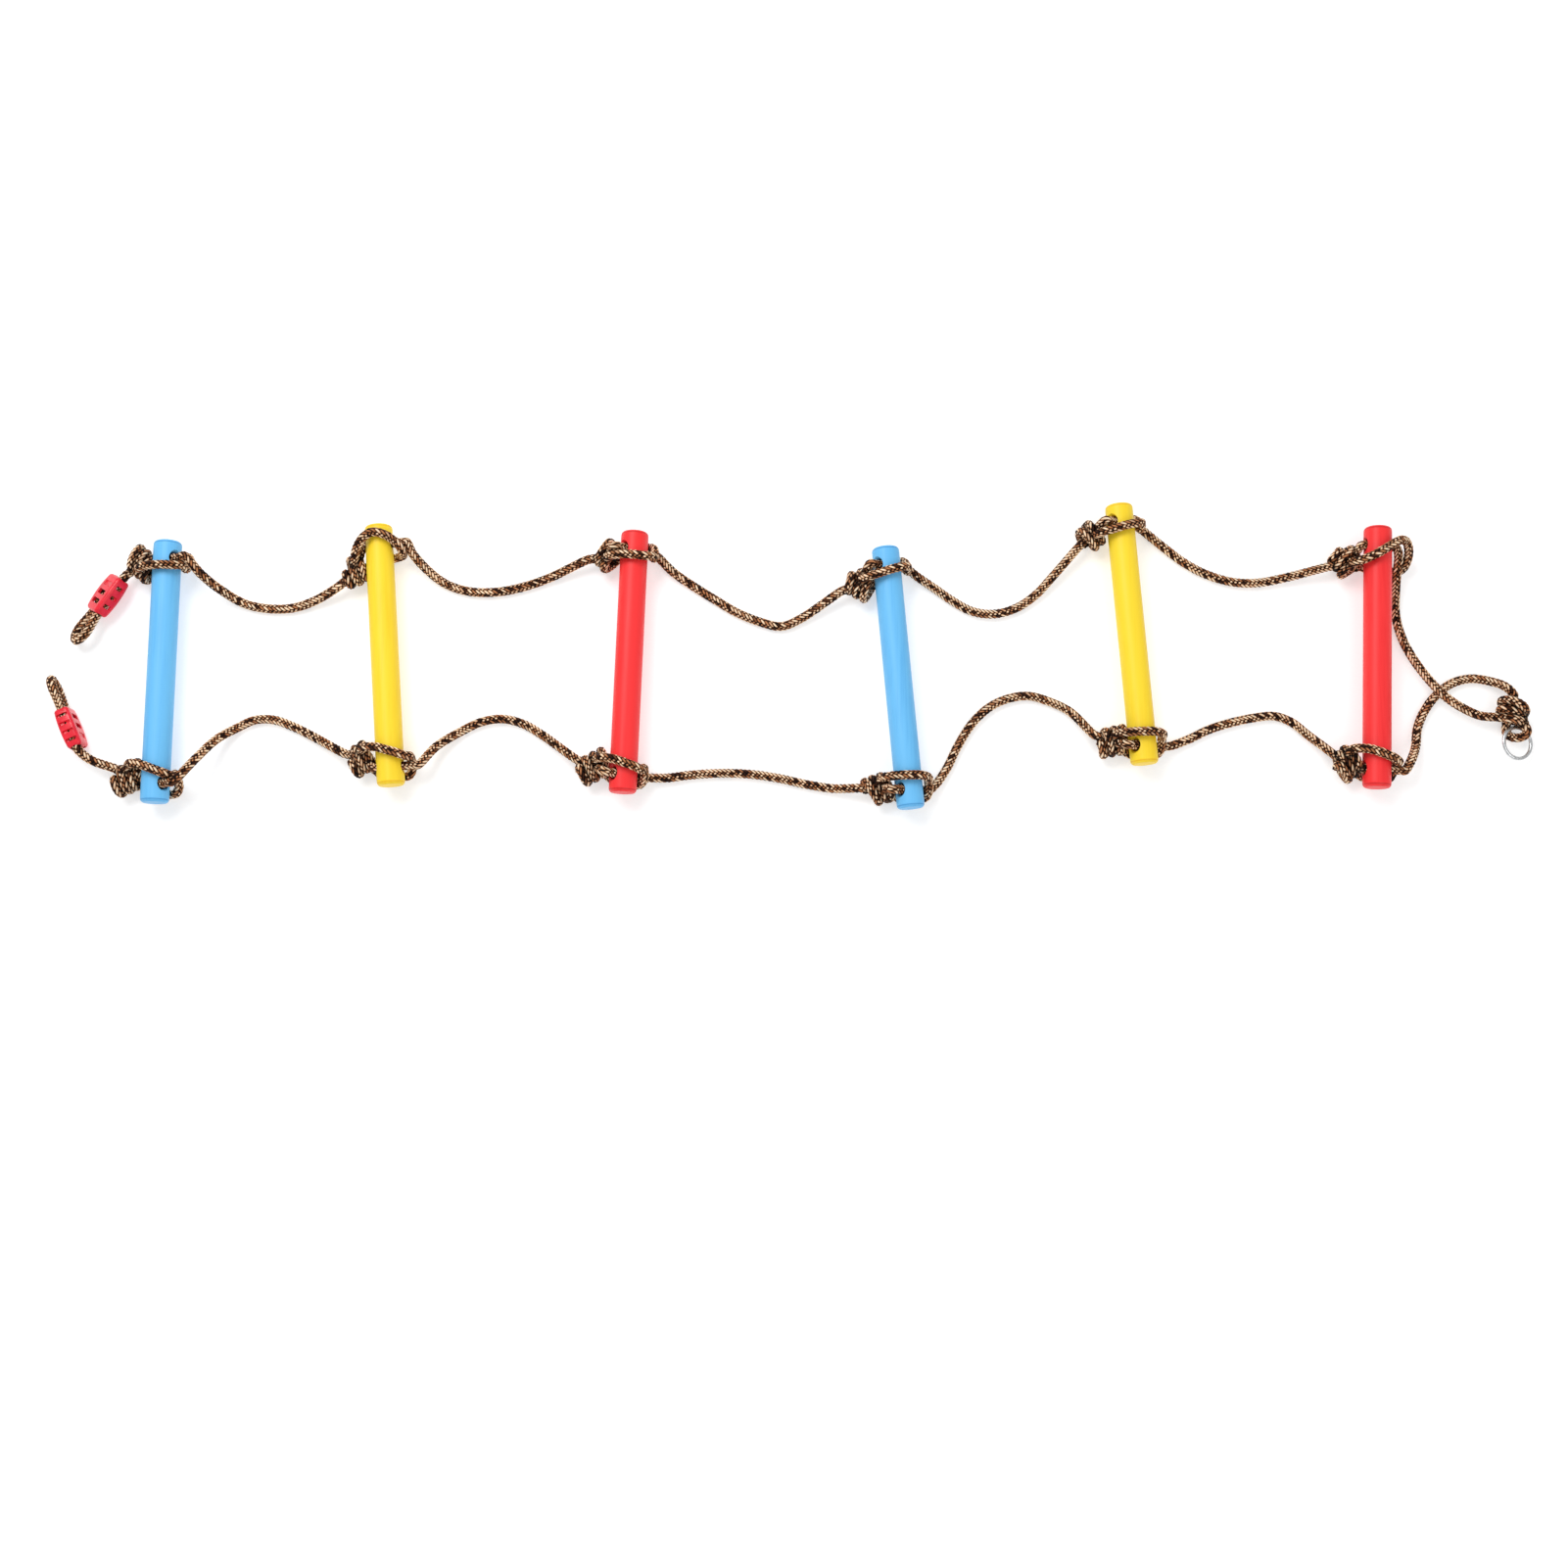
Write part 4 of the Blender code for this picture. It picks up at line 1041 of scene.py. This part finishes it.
def ring_mesh():
    """The wire bent to a ring, its ends butt-welded in a slight collar."""
    cage = bmesh.new()
    rows = []
    for number in range(RING_SEGMENTS):
        angle = 2 * math.pi * number / RING_SEGMENTS
        weld = math.exp(-(((angle - WELD_ANGLE) * RING_RADIUS / WELD_LENGTH) ** 2))
        radius = WIRE_RADIUS * (1 + WELD_SWELL * weld)
        row = []
        for step in range(WIRE_SIDES):
            turn = 2 * math.pi * step / WIRE_SIDES
            reach = RING_RADIUS + radius * math.cos(turn)
            spot = (reach * math.cos(angle), reach * math.sin(angle), radius * math.sin(turn))
            row.append(cage.verts.new(spot))
        rows.append(row)
    skin(cage, rows + rows[:1])
    bmesh.ops.recalc_face_normals(cage, faces=cage.faces)
    mesh = mesh_from(cage, "ring_wire")
    mesh.shade_smooth()
    return mesh


ring = linked("hanging_ring_wire", ring_mesh())
ring.matrix_world = Matrix.Translation(RING_CENTRE) @ Matrix.Rotation(RING_TILT, 4, "Y")
finish_piece(ring, zinc_material(), "ring")
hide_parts("hanging_ring")

# ---- adjusters

END_HALF_WIDTH = 0.0106
END_HALF_THICKNESS = 0.0071
ADJUSTER_CORNER = 0.0034
BARREL_POWER = 0.8
END_ROUNDING = 0.0022
# Towards an adjuster's end, as shares of its half length.
END_STATIONS = (0.82, 0.88, 0.93, 0.97, 0.992, 1.0)
# In its wide faces: where along and how deep, and the openings' length and width.
WINDOWS = ((-0.0106, 0.0026), (0.0, 0.0130), (0.0106, 0.0130))
WINDOW_SIZE = (0.0054, 0.0132)
# In its narrow sides: where along, and the openings' size.
SQUARE_HOLES = ((-0.0113, 0.0, 0.0107), (0.0042, 0.0052, 0.0074))
GROOVES = ((-0.0135, -0.0045, 0.0045, 0.0135), (0.0032, 0.0046, 0.0112))
BORE_SIDES = 48


def adjuster_body(name):
    """A barrel-sided moulded block with rounded edges, its middle at the origin."""
    cage = bmesh.new()
    ends = np.array(END_STATIONS)
    rows = []
    for station in np.concatenate([-ends[::-1], np.linspace(-0.75, 0.75, 31), ends]):
        swell = (1 - station**2) ** BARREL_POWER
        half_width = END_HALF_WIDTH + (ADJUSTER_WIDTH / 2 - END_HALF_WIDTH) * swell
        half_thick = END_HALF_THICKNESS + (ADJUSTER_THICKNESS / 2 - END_HALF_THICKNESS) * swell
        shrink = END_ROUNDING * max(0.0, (abs(station) - 0.86) / 0.14) ** 2.2
        half_width, half_thick = half_width - shrink, half_thick - shrink
        corner = ADJUSTER_CORNER
        row = []
        for quarter in range(4):
            for step in range(12):
                angle = math.pi / 2 * (quarter + step / 11)
                side_y = 1 if quarter in (0, 3) else -1
                side_z = 1 if quarter in (0, 1) else -1
                y = side_y * (half_width - corner) + corner * math.cos(angle)
                z = side_z * (half_thick - corner) + corner * math.sin(angle)
                row.append(cage.verts.new((station * ADJUSTER_LENGTH / 2, y, z)))
        rows.append(row)
    skin(cage, rows)
    cage.faces.new(rows[0])
    cage.faces.new(rows[-1][::-1])
    bmesh.ops.recalc_face_normals(cage, faces=cage.faces)
    return linked(name, mesh_from(cage, name))


def rounded_box(size, radius):
    """A cutter with rounded edges."""
    cage = bmesh.new()
    bmesh.ops.create_cube(cage, size=1.0)
    for corner in cage.verts:
        corner.co = Vector(component * length for component, length in zip(corner.co, size))
    bmesh.ops.bevel(cage, geom=cage.edges[:], offset=radius, segments=3, affect="EDGES", profile=0.5)
    return linked("box_cutter", mesh_from(cage, "box_cutter"))


def bore_profile():
    """A bore through the adjuster, with its two edges eased."""
    reach, past = ADJUSTER_LENGTH / 2, 0.040
    wall, eased, wide = ADJUSTER_BORE, ADJUSTER_BORE + 0.0008, ADJUSTER_BORE + 0.0010
    return [
        (-past, 0.0), (-past, wide), (-reach + 0.0004, eased), (-reach + 0.0014, wall),
        (reach - 0.0014, wall), (reach - 0.0004, eased), (past, wide), (past, 0.0),
    ]


PLASTIC = plastic_material()
for side in SIDES:
    piece = adjuster_body(f"{side}_adjuster_moulding")
    for place in (-1, 1):
        bore = lathe("bore", bore_profile(), BORE_SIDES)
        middle = Matrix.Translation((0, place * BORE_SPACING / 2, 0))
        bore.matrix_world = middle @ Matrix.Rotation(-math.pi / 2, 4, "Z")
        boolean_cut(piece, bore)
    for face in (-1, 1):
        for station, depth in WINDOWS:
            window = rounded_box((*WINDOW_SIZE, depth), 0.0009)
            window.location = (station, 0, face * ADJUSTER_THICKNESS / 2)
            boolean_cut(piece, window)
        stations, size = SQUARE_HOLES if face == SIDES[side] else GROOVES
        for station in stations:
            slot = rounded_box(size, 0.0008)
            slot.location = (station, face * (ADJUSTER_WIDTH / 2 - 6 * station**2), 0)
            boolean_cut(piece, slot)
    middle = Matrix.Translation((ADJUSTER_LENGTH / 2, -BORE_SPACING / 2, 0))
    piece.data.transform(adjuster_frame(side) @ middle)
    piece.data.shade_smooth()
    piece.data.set_sharp_from_angle(angle=math.radians(38))
    finish_piece(piece, PLASTIC, f"{side}_adjuster")
    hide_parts(f"{side}_adjuster")

# ---- floor and light


def floor_material():
    material, tree, shader = new_material("floor_paper", 0.1)
    grain = noise(tree, scaled_coordinates(tree), 300, 2)
    colour = ramp(tree, grain, ((0.3, (0.68, 0.68, 0.68)), (0.7, (0.70, 0.70, 0.70))))
    tree.links.new(colour, shader.inputs["Base Color"])
    shader.inputs["Roughness"].default_value = 0.9
    shader.inputs["Emission Color"].default_value = (1.0, 1.0, 1.0, 1.0)
    shader.inputs["Emission Strength"].default_value = 0.48
    return material


cage = bmesh.new()
bmesh.ops.create_grid(cage, x_segments=2, y_segments=2, size=12)
floor = linked("floor", mesh_from(cage, "floor"))
floor.data.materials.append(floor_material())

world = bpy.data.worlds.new("studio")
world.use_nodes = True
background = world.node_tree.nodes["Background"]
background.inputs["Color"].default_value = (1.0, 1.0, 1.0, 1.0)
background.inputs["Strength"].default_value = 0.55
bpy.context.scene.world = world
bpy.context.scene.view_settings.view_transform = "Standard"


def softbox(name, place, target, size, power):
    light = bpy.data.lights.new(name, "AREA")
    light.shape = "RECTANGLE"
    light.size, light.size_y = size
    light.energy = power
    item = linked(name, light)
    item.location = place
    item.rotation_euler = (Vector(target) - Vector(place)).to_track_quat("-Z", "Y").to_euler()


softbox("key", (-0.9, 1.1, 2.2), (0, 0, 0), (1.6, 1.2), 36)
softbox("fill", (1.3, -1.2, 2.4), (0, 0, 0), (2.0, 2.0), 16)
